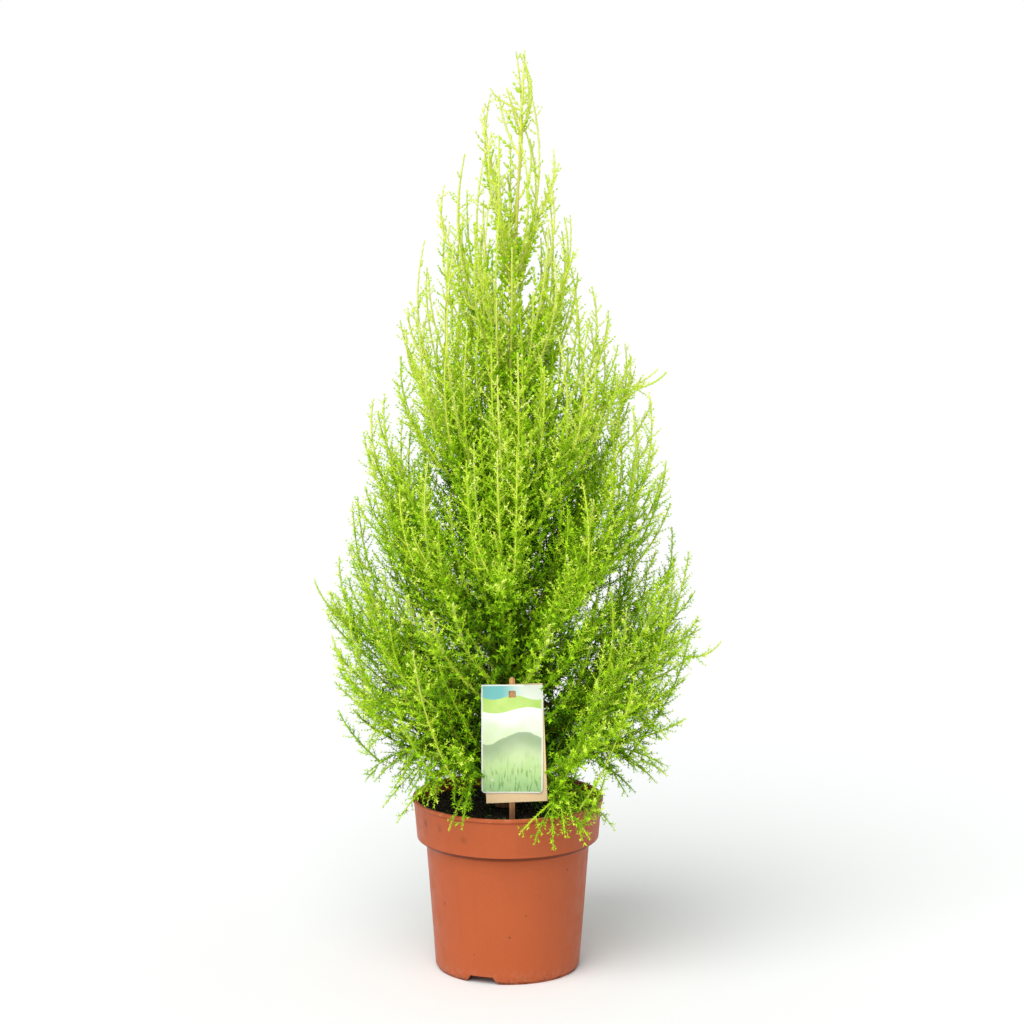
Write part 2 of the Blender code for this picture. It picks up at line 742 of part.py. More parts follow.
def core_points(plume, index, space):
    """A thin stem that swells into a knobbly core where the plume has room."""
    dice = random.Random(SEED + CORE_SEED_STEP * index)
    path = axis_path(plume, foliage_start(plume), STEM_RINGS)
    sides = CORE_SIDES if plume.core > LEADER_CORE else STEM_SIDES
    facing = plume.facing if not plume.bough else None
    tangents = [frame[0] for frame in frames_along(path)]
    radii = []
    for ring, centre in enumerate(path):
        share = ring / (STEM_RINGS - 1)
        thin = STEM_ROOT_RADIUS + share * (STEM_TIP_RADIUS - STEM_ROOT_RADIUS)
        before = max(ring - 1, 0)
        after = min(ring + 1, STEM_RINGS - 1)
        turn = max(tangents[before].angle(tangents[after]), LEAST_TURN)
        bend_radius = (path[after] - path[before]).length / turn
        fat = min(plume.core * CORE_SWELL[ring], space.room(index, centre), CORE_BEND_SHARE * bend_radius)
        radii.append(max(thin, fat))
    points, faces = tube(path, radii, sides, facing)
    for ring in range(1, STEM_RINGS - 1):
        if radii[ring] < 2.0 * STEM_ROOT_RADIUS:
            continue
        for corner in range(sides):
            hump = CORE_HOLLOWS if (ring + corner) % 2 else 1.0
            number = ring * sides + corner
            points[number] = path[ring].lerp(points[number], hump * dice.uniform(CORE_EVENNESS, 1.0))
    return points, faces


def build_plume(plume, index, space, look):
    body = add_object(plume.name, *core_points(plume, index, space), look)
    blades = []
    for number, shoot in enumerate(shoots(plume, index)):
        if number % SHOOTS_PER_BLADE:
            continue
        fitted = fitting_blade(shoot, index, space)
        if fitted:
            blades.append(add_object(f"{plume.name}_blade_{number}", *fitted, look))
    boolean(body, "UNION", blades)
    keep_outer_shell(body)
    return body


def build_bough(plume, look):
    path = bough_path(plume, BOUGH_RINGS)
    radii = []
    for ring in range(BOUGH_RINGS):
        share = ring / (BOUGH_RINGS - 1)
        radii.append(BOUGH_ROOT_RADIUS + share * (BOUGH_TIP_RADIUS - BOUGH_ROOT_RADIUS))
    points, faces = tube(path, radii, BOUGH_SIDES, plume.facing)
    return add_object(plume.name.replace("foliage", "bough"), points, faces, look)


def build_trunk():
    foot = TRUNK_FOOT.z
    shares = [(ring / (TRUNK_RINGS - 1)) ** TRUNK_RING_CROWDING for ring in range(TRUNK_RINGS)]
    heights = [foot + (TRUNK_TOP - foot) * share for share in shares]
    path = [trunk_centre(height) for height in heights]
    radii = [trunk_radius(height) for height in heights]
    points, faces = tube(path, radii, TRUNK_SIDES, Vector((0.0, 0.0, 1.0)))
    return add_object("trunk", points, faces, material("bark", (0.2, 0.115, 0.065), 0.85))


def build_tree():
    build_trunk()
    plumes = all_plumes()
    space = Space(plumes)
    for index, plume in enumerate(plumes):
        if plume.bough:
            build_bough(plume, material("bough_bark", (0.27, 0.16, 0.08), 0.8))
        build_plume(plume, index, space, material("foliage", (0.32, 0.5, 0.06), 0.6))


clear_scene()
build_pot()
build_soil()
build_label()
build_tree()
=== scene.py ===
"""Looks for the potted lemon cypress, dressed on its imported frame.

The tree is grown again by the rule of its solids and carried on to finer twigs: plume axes, side
shoots, leaders, sprays and whorls of needles. The pot, compost, cards and stick are turned and cut
from the sizes of the solids, with finer edges and marks of use. Metres, +Z up, the front faces -Y.
"""

import itertools
import math
import random
from collections import namedtuple

import bpy
import numpy as np
from mathutils import Matrix, Vector, noise


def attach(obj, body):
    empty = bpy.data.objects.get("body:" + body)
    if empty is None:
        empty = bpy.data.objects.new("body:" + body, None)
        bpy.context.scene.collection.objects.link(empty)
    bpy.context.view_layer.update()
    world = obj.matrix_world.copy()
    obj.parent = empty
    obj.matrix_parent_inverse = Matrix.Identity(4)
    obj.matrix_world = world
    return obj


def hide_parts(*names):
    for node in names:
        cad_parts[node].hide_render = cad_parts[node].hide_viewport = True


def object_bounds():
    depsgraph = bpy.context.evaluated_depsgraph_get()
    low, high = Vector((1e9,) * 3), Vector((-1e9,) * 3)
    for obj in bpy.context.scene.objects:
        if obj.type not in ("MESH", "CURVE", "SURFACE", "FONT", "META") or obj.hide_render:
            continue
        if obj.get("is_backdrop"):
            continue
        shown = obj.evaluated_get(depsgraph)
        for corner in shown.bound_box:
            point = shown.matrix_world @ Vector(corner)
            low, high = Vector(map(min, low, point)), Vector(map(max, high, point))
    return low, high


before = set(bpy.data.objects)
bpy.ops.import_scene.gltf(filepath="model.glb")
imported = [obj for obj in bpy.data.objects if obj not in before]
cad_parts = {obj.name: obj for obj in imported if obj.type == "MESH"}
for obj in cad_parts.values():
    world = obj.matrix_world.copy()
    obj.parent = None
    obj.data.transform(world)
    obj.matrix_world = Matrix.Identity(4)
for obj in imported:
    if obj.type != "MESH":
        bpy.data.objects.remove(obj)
cad_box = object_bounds()

SEED = 1902
GAP = 0.0003  # between pieces that touch
GOLDEN_ANGLE = math.radians(137.508)
UP = np.array([0.0, 0.0, 1.0])
MILLIMETRES = 1000.0  # in a metre


def turns(*degrees):
    """Angles in degrees, made radians."""
    return tuple(math.radians(angle) for angle in degrees)


# Pot
POT_HEIGHT = 0.174
RIM_RADIUS = 0.095
BEAD_HEIGHT = 0.0036
BEAD_DEPTH = 0.0013
BEAD_EDGE = 0.0007
LIP_EDGE = 0.0008
COLLAR_BOTTOM = 0.1335
COLLAR_BOTTOM_RADIUS = 0.0905
SHOULDER_BOTTOM = 0.1275
BODY_TOP_RADIUS = 0.0812
BODY_FOOT_RADIUS = 0.0722
WALL = 0.0022
FLOOR_UNDERSIDE = 0.009
FOOT_RING_WIDTH = 0.003
BOSS_RADIUS = 0.017
BOSS_TAPER = 0.001
PINHOLE = 0.0006  # radius at both ends of the profile
SHOULDER_STEPS = ((0.0026, 0.0011), (0.0009, 0.0004), (0.0002, -0.0004), (0.0, -0.0014))  # out, up
FOOT_STEPS = ((0.0, 0.0042), (0.0002, 0.0034), (0.0007, 0.0028), (0.0018, 0.0025),
              (0.0022, 0.0020), (0.0024, 0.0))  # in, height
POT_SIDES = 300
SHARP_ANGLE = math.radians(40.0)
NOTCH_COUNT = 3
NOTCH_FIRST_AZIMUTH = math.radians(-111.0)
NOTCH_HEIGHT = 0.0078
NOTCH_TOP_WIDTH = 0.0235
NOTCH_FOOT_WIDTH = 0.0385
NOTCH_DEPTH = 0.012
NOTCH_OVERSHOOT = 0.003

# Marks on the pot
WALL_SWINGS = ((0.00022, 3.0, 0.7), (0.00012, 7.0, 2.0))  # size, waves round the pot, start
SWING_FROM = 0.02  # height
CREASE_AZIMUTH = math.radians(-149.0)
CREASE_HALF_WIDTH = math.radians(0.9)
CREASE_DEPTH = 0.0004
CREASE_HEIGHTS = (0.150, 0.171)
NICK_AZIMUTH = math.radians(-108.5)
NICK_HALF_WIDTH = math.radians(1.5)
NICK_DEPTH = 0.0009
SHOULDER_SHADE = ((0.1276, 0.1318), (0.1336, 0.1345))  # heights where it comes and goes
GROOVE_SHADE = ((0.1686, 0.1696), (0.1700, 0.1708))
SMUDGES = (  # place, radius and strength
    ((-0.0690, -0.0640, 0.1560), 0.0085, 0.70),
    ((-0.0440, -0.0840, 0.1500), 0.0065, 0.55),
    ((-0.0800, -0.0450, 0.1580), 0.0060, 0.6),
    ((0.0300, -0.0720, 0.0900), 0.0050, 0.4),
)
PITS = (  # place and radius
    ((0.0020, -0.0762, 0.0500), 0.0021),
    ((-0.0620, -0.0466, 0.0760), 0.0019),
    ((0.0590, -0.0545, 0.1130), 0.0018),
    ((-0.0330, -0.0670, 0.0300), 0.0014),
    ((0.0180, -0.0750, 0.0720), 0.0012),
)

# Compost
SOIL_TOP = 0.162
SOIL_EDGE_DROP = 0.001
SOIL_LUMPS = ((0.0020, 45.0), (0.0013, 140.0), (0.0008, 420.0))  # height, lumps per metre
SOIL_RINGS = 44
SOIL_SIDES = 150
SOIL_MIDDLE = 0.002  # radius of the innermost ring, as a share of the edge
SOIL_SETTLING = 12.0  # how fast the lumps fade at the wall
CRUMBS = (  # name, dark and light colour, count and sizes
    ("crumbs_dark", (20, 16, 10), (44, 36, 24), 1500, (0.0006, 0.0021)),
    ("crumbs_brown", (48, 36, 22), (92, 68, 42), 300, (0.0005, 0.0014)),
    ("moss_flecks", (40, 70, 16), (84, 124, 36), 260, (0.0006, 0.0015)),
)
CRUMB_SPREAD = 0.975  # share of the compost's radius that they reach
CRUMB_RISE = 0.35
CRUMB_WIDTH = (0.7, 1.3)
CRUMB_DEPTH = (0.6, 1.0)
CRUMB_HEIGHT = 0.7
CRUMB_NEIGHBOUR = 1.2  # corners of a crumb nearer than this share an edge
STEM_CLEARANCE = 0.011  # of crumbs, from the middle of the stem
STICK_CLEARANCE = 0.007

# Stem of the tree: radius at a height above the compost
TRUNK_FOOT = np.array([-0.004, 0.004, SOIL_TOP + GAP])
TRUNK_TOP = 0.822
TRUNK_LEAN = 0.0165
TRUNK_LEAN_LOW = 0.35  # share of the lean that comes evenly, the rest near the top
TRUNK_WANDER = 0.0022
TRUNK_WANDER_TURNS = 1.3
TRUNK_RADII = ((0.0, 0.008, 0.03, 0.29, 0.53, 0.66), (0.0088, 0.0064, 0.0056, 0.0038, 0.0019, 0.0009))

# Crown. Its profile is in millimetres: a height, and the reach there to the left (-X) and the right (+X)
CROWN_TOP = 0.908
CROWN_PROFILE = (
    (130, 105, 112), (200, 142, 158), (260, 168, 184), (340, 184, 192), (420, 160, 172), (520, 140, 152),
    (610, 120, 128), (670, 94, 86), (770, 66, 60), (850, 24, 32), (910, 6, 23),
)
DEPTH_RATIO = 0.94
CROWN_SLACK = 1.05

# A tier of plumes, as in the solids; rise is how much its side shoots turn up, below 0 for hanging ones
TIER_SIZES = "name azimuths root_height root_step tip_heights spread lift bough girth blades rise risers"
Tier = namedtuple("Tier", TIER_SIZES)
TIERS = (
    Tier("top", (178, 350, 262, 85), 0.715, -0.020, (0.852, 0.800, 0.772, 0.825),
         0.60, 0.050, 0.0, 0.052, 9, 0.9, 6),
    Tier("upper", (184, 330, 254, 112, 40), 0.585, -0.018, (0.765, 0.718, 0.705, 0.735, 0.695),
         0.58, 0.070, 0.0, 0.066, 9, 0.9, 24),
    Tier("middle", (188, 348, 226, 308, 270, 146, 94, 14), 0.465, -0.014,
         (0.668, 0.648, 0.600, 0.580, 0.560, 0.612, 0.610, 0.600), 0.60, 0.065, 0.0, 0.086, 9, 0.8, 50),
    Tier("lower", (268, 194, 342, 234, 302, 50, 98, 144), 0.350, -0.011,
         (0.425, 0.530, 0.505, 0.450, 0.440, 0.500, 0.475, 0.465), 0.64, 0.055, 0.17, 0.098, 9, 0.6, 64),
    Tier("low", (178, 358, 214, 324, 84, 128, 42), 0.258, -0.008,
         (0.365, 0.345, 0.285, 0.295, 0.320, 0.300, 0.310), 0.58, 0.048, 0.19, 0.095, 9, 0.2, 64),
    Tier("skirt", (194, 344, 232, 309, 96), 0.198, -0.004, (0.205, 0.215, 0.200, 0.150, 0.205),
         0.50, 0.062, 0.0, 0.078, 8, -0.15, 44),
)
TOP_NAME = "foliage_leader"
TOP_GIRTH = 0.022
TOP_BLADES = 7
TOP_RISE = 0.5

# Limbs
BOUGH_RADIUS = (0.0030, 0.0019)  # at the root and the tip, as in all pairs of radii
AXIS_RADIUS = (0.0015, 0.0005)
LEADER_RADIUS = (0.0010, 0.0005)
SHOOT_RADIUS = (0.00062, 0.00028)
SPEED_STEP = 0.01
GREENING = 0.20  # height over which bark turns green
TRUNK_MESH = (150, 20, 0.16)  # rings, sides and relief of its bark
BOUGH_MESH = (16, 12, 0.12)
BARK_GRAIN = (420.0, 60.0)  # ridges per metre, across and along
BARK_KNOBS = (0.10, 90.0)  # height as a share of the radius, knobs per metre

# Side shoots, by the seeded rule of the solids
SHOOTS_PER_BLADE = 3
SHOOT_SEED_STEP = 31
FIRST_SHOOT = 0.10
LAST_SHOOT = 0.93
TURN_JITTER = 0.35
ROOT_FULLNESS = 0.6
FULLNESS_RISE = 1.6
TIP_THINNING = 0.56
TIP_THINNING_POWER = 1.8
SHOOT_PITCH = turns(32, 46)
SHOOT_LENGTH = (0.85, 1.12)
SHRINK_STEPS = (1.0, 0.82, 0.66, 0.5, 0.38, 0.26)
SHORTEST_SHOOT = 0.009
SHOOT_TESTS = np.array([0.35, 0.7, 1.0])[:, None]  # shares of a curve where it is tested
SLIM_FROM = 0.45  # share of an axis from which its side shoots get shorter than the solids' blades
SLIM_TIP = 0.30
FAN_BY_HEIGHT = ((0.25, 0.50, 0.75), (0.62, 0.60, 0.36))  # low plumes are broad fans, high ones are slim

# Leaders: secondary axes that rise from side shoots
LEADER_SEED_STEP = 71
LEADER_FROM = (0.30, 0.92)  # where they leave their side shoot
LEADER_HEIGHT = (0.080, 0.230)
LEADER_TURN = turns(0, 7)
# Least and most outward lean of leaders, by the height of their roots
SLOPE_HEIGHTS = (0.18, 0.30, 0.45, 0.60, 0.70)
LEADER_SLOPE = ((0.55, 0.20, 0.03, 0.02, 0.00), (2.60, 1.45, 0.85, 0.50, 0.16))
INNER_SLOPE = ((0.70, 0.60, 0.20, 0.12, 0.05), (2.20, 1.70, 0.85, 0.50, 0.20))
LEAN_POWER = 1.5
LEADER_REACH = (0.86, 1.05)  # how near the crown's outline their tips may come
AXIS_STEPS = np.linspace(1.0, 0.25, 16)
AXIS_TESTS = np.linspace(0.2, 1.0, 6)[:, None]
DROOP_BELOW = 0.300  # every other leader that leaves lower than this hangs outwards
DROOP = (0.012, 0.055)
DROOP_SLOPE = 1.2
LEADER_BULGE = 0.14
INNER_BULGE = 0.30
LEADER_MARKS = (0.55, 1.0)  # shares of a leader at its middle and at its tip
LEADER_ROOM = (0.0147, 0.0205)  # between their middles and between their tips
LEADER_SQUASH = 0.4  # with heights this much smaller
# Leaders straight from the stem, which fill the middle
INNER_LEADERS = 520
INNER_HEIGHTS = (0.186, 0.870)  # of their roots
INNER_LOW = 1.8  # above 1: closer together low down
INNER_RISE = (0.070, 0.200)
INNER_RISE_AT_TOP = 0.45

# Single twigs, in millimetres: the place that each bends towards, and its tip
SPRIGS = (
    # Beyond the plumes
    (190, -34, 312, 208.5, -30, 336), (138, 0, 578, 154, 0, 598),
    (122, 6, 578, 146, 8, 600), (112, -10, 566, 133, -12, 590),
    (-182, 0, 362, -190, 0, 392),
    # Near and over the rim
    (-88, -55, 196, -108, -60, 163), (32, -101, 186, 12, -107, 164),
    (36, -102, 186, 26, -109, 155), (42, -106, 204, 44, -104, 147),
    (50, -100, 204, 56, -102, 160), (56, -100, 204, 64, -100, 172),
    (78, -76, 204, 86, -80, 172), (-50, -74, 216, -52, -80, 184),
    (-34, -70, 214, -38, -76, 180), (-70, -62, 214, -78, -72, 184),
    (-84, 20, 224, -104, 22, 200), (-90, -12, 222, -114, -18, 194),
    (-62, 46, 228, -82, 58, 206), (-80, -36, 222, -100, -46, 190),
    (66, 46, 228, 86, 54, 206), (112, -20, 222, 136, -22, 204),
    (106, 10, 232, 140, 10, 226), (100, -40, 214, 118, -50, 186),
)
SPRIG_SHARES = np.linspace(0.05, 0.72, 40)  # places on an axis where one may grow
SPRIG_BACK = 0.7  # how far its line is drawn back to find the axis, in distances from bend to tip

# A growth of twigs on other twigs: where it starts, how close, how long and how it turns
GROWTH_SIZES = "spacing first spread longest shortest fullness pitch rise radius"
Growth = namedtuple("Growth", GROWTH_SIZES)
LEADER_SHOOTS = Growth(0.0045, 0.004, 0.34, 0.0165, 0.0050, 0.85, turns(44, 64), 0.32, (0.00052, 0.00034))
LONG_SPRAYS = Growth(0.0064, 0.006, 0.40, 0.024, 0.0045, 0.55, turns(36, 54), 0.25, (0.00034, 0.00018))
SHORT_SPRAYS = Growth(0.0085, 0.010, 0.42, 0.010, 0.0055, 0.8, turns(38, 56), 0.2, (0.00028, 0.00015))
SPACING_JITTER = 0.3
TWIG_TURN_JITTER = 0.4
TWIG_LENGTH_RANGE = (0.7, 1.15)
KEPT_INSIDE = 0.60  # share of the twigs that are kept at the stem, and how much more outside
KEPT_OUTSIDE_MORE = 0.55
OPEN_TOP = ((0.48, 0.60, 0.72, 0.80, 0.90), (1.0, 0.72, 0.30, 0.22, 0.40))  # share of those, by height

# Needles
WHORL_SPACING = 0.0030
WHORL_START = 0.85  # place of the first whorl, in spacings
WHORL_TWIST = 0.9  # radians from whorl to whorl
NEEDLES_IN_WHORL = 3
NEEDLE_LENGTH = (0.0043, 0.0033)  # at the root and the tip of a spray
NEEDLE_LENGTH_RANGE = (0.8, 1.15)
NEEDLE_WIDTH = 0.00114
NEEDLE_WIDEST = 0.36  # share of its length
NEEDLE_FOLD = 0.25
NEEDLE_PITCH = turns(60, 38)
PITCH_JITTER = 0.17
NEEDLE_TURN_JITTER = 0.35
INNER_DEPTH = 0.58  # needles deeper in the crown than this are larger and further apart
INNER_FADE = 0.35
NODE_DISTANCE = 0.0062  # needles crowd at nodes this far apart
NODE_CROWDING = ((0.35, 0.65), (0.14, 0.58))  # by height
CLUB_HEIGHTS = ((0.40, 0.70), (0.0, 1.0))  # from where to where sprays close up to darker clubs
CLUB_SLIM = 0.42  # how much closer to the twig their needles lie
CLUB_WIDEN = 0.56
CLUB_SHADE = 0.13
PIECE_LIMIT = 95000  # needles in one piece

# Colours of the foliage in screen values, from dark to light, and the light that deals them out
TONES = (
    ("deep", (54, 98, 4)),
    ("shade", (88, 144, 8)),
    ("leaf", (130, 186, 14)),
    ("fresh", (156, 208, 20)),
    ("bright", (176, 222, 32)),
    ("lemon", (194, 230, 44)),
    ("pale", (209, 236, 72)),
    ("tip", (222, 240, 110)),
    ("glow", (233, 243, 144)),
)
TWIG_TONES = (
    ("brown", (110, 104, 30)),
    ("olive", (140, 178, 28)),
    ("straw", (198, 222, 54)),
    ("yellow", (226, 234, 92)),
)
OUTER_LIGHT = ((0.0, 0.20, 0.37, 0.47, 0.57, 0.64, 1.0),  # share of the crown's height
               (0.64, 0.74, 0.72, 0.88, 0.98, 1.06, 1.18))
INNER_SHADE = (0.46, 0.12)  # how much darker the foliage is at the stem, low down and at the top
LIGHT_SPREAD = 0.23
DARKEST = 0.16  # light up to which foliage takes its darkest tone
NEEDLE_TONE_STEP = 0.10
TWIG_TONE_STEP = 0.21
TIP_FROM = 0.62  # share of a spray from which its needles are lighter
TIP_LIGHT = (-0.12, 0.10)  # before it and beyond it

# Cards and stick, in the cards' own frame: x to the right, y up the stick, z towards the front
LABEL_FOOT = Vector((0.0045, -0.052, SOIL_TOP))
LABEL_LEAN = math.radians(5.0)
STICK_WIDTH = 0.0056
STICK_THICKNESS = 0.0016
STICK_TOP = 0.1475
STICK_DEPTH = 0.030
STICK_EDGE = 0.0003
STICK_ROWS = 24
STICK_ARC = 12
CARD_WIDTH = 0.060
CARD_HEIGHT = 0.111
CARD_THICKNESS = 0.0006
CARD_TOP = 0.1405
CARD_CORNER = 0.004
CARD_BORDER = 0.0013
CARD_BOW = 0.0008
BOW_AT_TOP = 0.4  # share of it
CARD_GRID = (25, 41)
CORNER_ROWS = (0.3, 0.6, 1.0)
BACK_CARD_HEIGHT = 0.121
BACK_CARD_TURN = math.radians(2.4)
SLOT_WIDTH = 0.0066
SLOT_HEIGHT = 0.0072
SLOT_BELOW_TOP = 0.0062

# Room that twigs leave
INNER_RIM = 0.0885
TWIG_MARGIN = 0.0035
LABEL_MIDDLE = 0.0016
LABEL_CLEARANCE = 0.0335
LABEL_MARGIN = 0.002

# Camera
CAMERA_PLACE = (0.0044, -3.2, 1.002)
CAMERA_DIP = math.radians(9.6)
CAMERA_LENS = 116.1
SENSOR_WIDTH = 36.0

# Light and floor
ROOM_LIGHT = 0.58
LAMPS = (  # name, strength, size, direction
    ("key", 2.4, math.radians(50.0), (0.31, 0.74, -1.04)),
    ("fill", 1.05, math.radians(100.0), (0.55, 1.0, -0.15)),
)
FLOOR_COLOUR = (0.818, 0.830, 0.826)
FLOOR_CORNERS = ((-9.0, -6.0, 0.0), (9.0, -6.0, 0.0), (9.0, 14.0, 0.0), (-9.0, 14.0, 0.0))


# ---- Materials


def srgb(red, green, blue):
    """A colour as 0 to 255 screen values, made linear."""
    linear = []
    for value in (red, green, blue):
        share = value / 255.0
        linear.append(share / 12.92 if share <= 0.04045 else ((share + 0.055) / 1.055) ** 2.4)
    return tuple(linear)


class Look:
    """A procedural material in the making, painted in coats of screen colours."""

    def __init__(self, name, roughness, specular):
        self.material = bpy.data.materials.new(name)
        self.material.use_nodes = True
        self.tree = self.material.node_tree
        self.shader = self.tree.nodes["Principled BSDF"]
        self.set("Roughness", roughness)
        self.set("Specular IOR Level", specular)
        self.place = self.tree.nodes.new("ShaderNodeTexCoord").outputs["Object"]
        self.body = None

    def put(self, socket, value):
        if isinstance(value, bpy.types.NodeSocket):
            self.tree.links.new(value, socket)
        elif isinstance(value, tuple) and socket.type == "RGBA":
            socket.default_value = (*value, 1.0)
        else:
            socket.default_value = value

    def set(self, name, value):
        self.put(self.shader.inputs[name], value)

    def node(self, kind, *values, **named):
        """A node with its first inputs, its named inputs and its options filled in."""
        made = self.tree.nodes.new("ShaderNode" + kind)
        for name, value in named.items():
            if name in made.inputs:
                self.put(made.inputs[name], value)
            else:
                setattr(made, name, value)
        for socket, value in zip(made.inputs, values):
            self.put(socket, value)
        return made

    def math(self, operation, *values):
        return self.node("Math", *values, operation=operation).outputs[0]

    def times(self, first, *others):
        for other in others:
            first = self.math("MULTIPLY", first, other)
        return first

    def plus(self, first, second):
        return self.math("ADD", first, second)

    def wave(self, value, scale, start=0.0):
        return self.math("SINE", self.plus(self.times(value, scale), start))

    def axes(self):
        return self.node("SeparateXYZ", self.place).outputs[:3]

    def noise(self, scale, detail=3.0, stretch=(1.0, 1.0, 1.0), rough=0.5):
        place = self.node("Mapping", self.place, Scale=stretch).outputs[0]
        made = self.node("TexNoise", place, Scale=scale, Detail=detail, Roughness=rough)
        return made.outputs["Fac"]

    def cells(self, scale):
        return self.node("TexVoronoi", self.place, Scale=scale).outputs["Distance"]

    def ramp(self, value, low, high, out_low=0.0, out_high=1.0):
        """A smooth step from one value to another between low and high."""
        made = self.node("MapRange", value, low, high, out_low, out_high, interpolation_type="SMOOTHSTEP")
        return made.outputs["Result"]

    def fade(self, value, low, high, most=1.0):
        return self.ramp(value, low, high, most, 0.0)

    def band(self, value, rise, fall):
        """1 between where a value rises and where it falls."""
        return self.times(self.ramp(value, *rise), self.fade(value, *fall))

    def near(self, point, radius):
        """1 at a point, 0 at a distance from it."""
        made = self.node("VectorMath", self.place, point, operation="DISTANCE")
        return self.fade(made.outputs["Value"], 0.0, radius)

    def mix(self, share, first, second):
        made = self.node("Mix", share, data_type="RGBA")
        self.put(made.inputs[6], first)
        self.put(made.inputs[7], second)
        return made.outputs[2]

    def coat(self, share, *colour):
        """Lays a colour over the others."""
        self.body = self.mix(share, self.body, srgb(*colour))

    def finished(self, relief, strength, distance):
        """The material, once its coats and relief are on."""
        self.set("Base Color", self.body)
        bump = self.node("Bump", Strength=strength, Distance=distance, Height=relief)
        self.set("Normal", bump.outputs[0])
        return self.material


def pot_look():
    """Moulded terracotta-coloured plastic, slightly mottled, soiled at the foot, darker in patches along its
    bottom edge and rubbed at the rim.
    """
    look = Look("pot_plastic", 0.46, 0.28)
    height = look.axes()[2]
    look.body = look.mix(look.noise(22.0, 4.0), srgb(166, 77, 36), srgb(178, 85, 42))
    grain = look.noise(900.0, 2.0)
    look.coat(look.ramp(grain, 0.35, 0.75, 0.0, 0.20), 194, 104, 62)
    streaks = look.noise(60.0, 3.0, stretch=(1.0, 1.0, 0.12))
    look.coat(look.ramp(streaks, 0.52, 0.72, 0.0, 0.16), 150, 66, 32)
    rubbed = look.ramp(look.noise(140.0, 4.0), 0.5, 0.68)
    rim = look.ramp(height, POT_HEIGHT - 0.0052, POT_HEIGHT - 0.0016)
    look.coat(look.times(rim, rubbed, 0.45), 204, 124, 86)
    dusty = look.ramp(look.noise(210.0, 4.0), 0.42, 0.66)
    look.coat(look.times(look.fade(height, 0.003, 0.022), dusty, 0.35), 178, 116, 86)
    spotted = look.ramp(look.noise(60.0), 0.38, 0.52)
    specks = look.fade(look.cells(300.0), 0.28, 0.44)
    look.coat(look.times(look.fade(height, 0.003, 0.010), spotted, specks, 0.5), 92, 46, 26)
    # darker in patches over the bottom few millimetres of the foot
    foot_edge_patches = look.ramp(look.noise(120.0), 0.36, 0.56)
    look.coat(look.times(look.fade(height, 0.0006, 0.0026), foot_edge_patches, 0.7), 98, 40, 16)
    look.coat(look.times(look.band(height, *SHOULDER_SHADE), 0.85), 78, 30, 13)
    look.coat(look.times(look.band(height, *GROOVE_SHADE), 0.45), 110, 46, 22)
    blotches = look.ramp(look.noise(90.0, 1.0), 0.30, 0.60)
    for point, radius, strength in SMUDGES:
        look.coat(look.times(look.near(point, radius), blotches, strength), 104, 50, 30)
    for point, radius in PITS:
        look.coat(look.near(point, radius), 96, 38, 20)
    look.set("Roughness", look.ramp(look.noise(75.0, 3.0), 0.3, 0.7, 0.40, 0.54))
    rings = look.times(look.wave(height, 2600.0), 0.05)
    return look.finished(look.plus(look.times(grain, 0.8), rings), 0.18, 0.0002)


def soil_look(name, dark, light):
    """Moist compost in fine crumbs."""
    look = Look(name, 0.92, 0.25)
    crumb = look.noise(480.0, 5.0, rough=0.65)
    look.body = look.mix(crumb, srgb(*dark), srgb(*light))
    look.coat(look.ramp(look.noise(60.0, 3.0), 0.4, 0.65, 0.0, 0.5), 22, 18, 10)
    return look.finished(crumb, 0.6, 0.0008)


def bark_look(name, dark, light, green_from, green):
    """Stringy bark, brown below and green on young wood above a height."""
    look = Look(name, 0.85, 0.3)
    strings = look.noise(900.0, 4.0, stretch=(1.0, 1.0, 0.08), rough=0.6)
    scales = look.noise(260.0, 3.0, stretch=(1.0, 1.0, 0.35))
    look.body = look.mix(look.ramp(strings, 0.35, 0.65), srgb(*dark), srgb(*light))
    look.coat(look.ramp(scales, 0.5, 0.7, 0.0, 0.5), *dark)
    look.coat(look.ramp(look.axes()[2], green_from, green_from + GREENING), *green)
    return look.finished(strings, 0.5, 0.0006)


def plain_look(name, colour, roughness, specular=0.15):
    """One plain base colour, as for twigs and needles."""
    look = Look(name, roughness, specular)
    look.set("Base Color", colour)
    return look.material


def wood_look():
    """Light wood with grain along the stick, damp at the compost."""
    look = Look("stick_wood", 0.68, 0.3)
    grain = look.noise(1500.0, 4.0, stretch=(1.0, 0.04, 1.0), rough=0.6)
    bands = look.noise(520.0, 2.0, stretch=(1.0, 0.05, 1.0))
    look.body = look.mix(look.ramp(bands, 0.35, 0.65), srgb(186, 130, 84), srgb(222, 168, 116))
    look.coat(look.ramp(grain, 0.55, 0.72, 0.0, 0.7), 120, 72, 40)
    look.coat(look.fade(look.axes()[1], 0.004, 0.03, 0.7), 82, 50, 28)
    return look.finished(grain, 0.4, 0.0003)


def kraft_look():
    """Brown card with flecks of fibre."""
    look = Look("kraft_card", 0.8, 0.2)
    fibres = look.noise(1400.0, 3.0, stretch=(1.0, 0.3, 1.0))
    look.body = look.mix(look.noise(120.0, 3.0), srgb(254, 218, 168), srgb(255, 226, 182))
    look.coat(look.ramp(fibres, 0.58, 0.72, 0.0, 0.35), 226, 184, 134)
    return look.finished(fibres, 0.2, 0.0002)


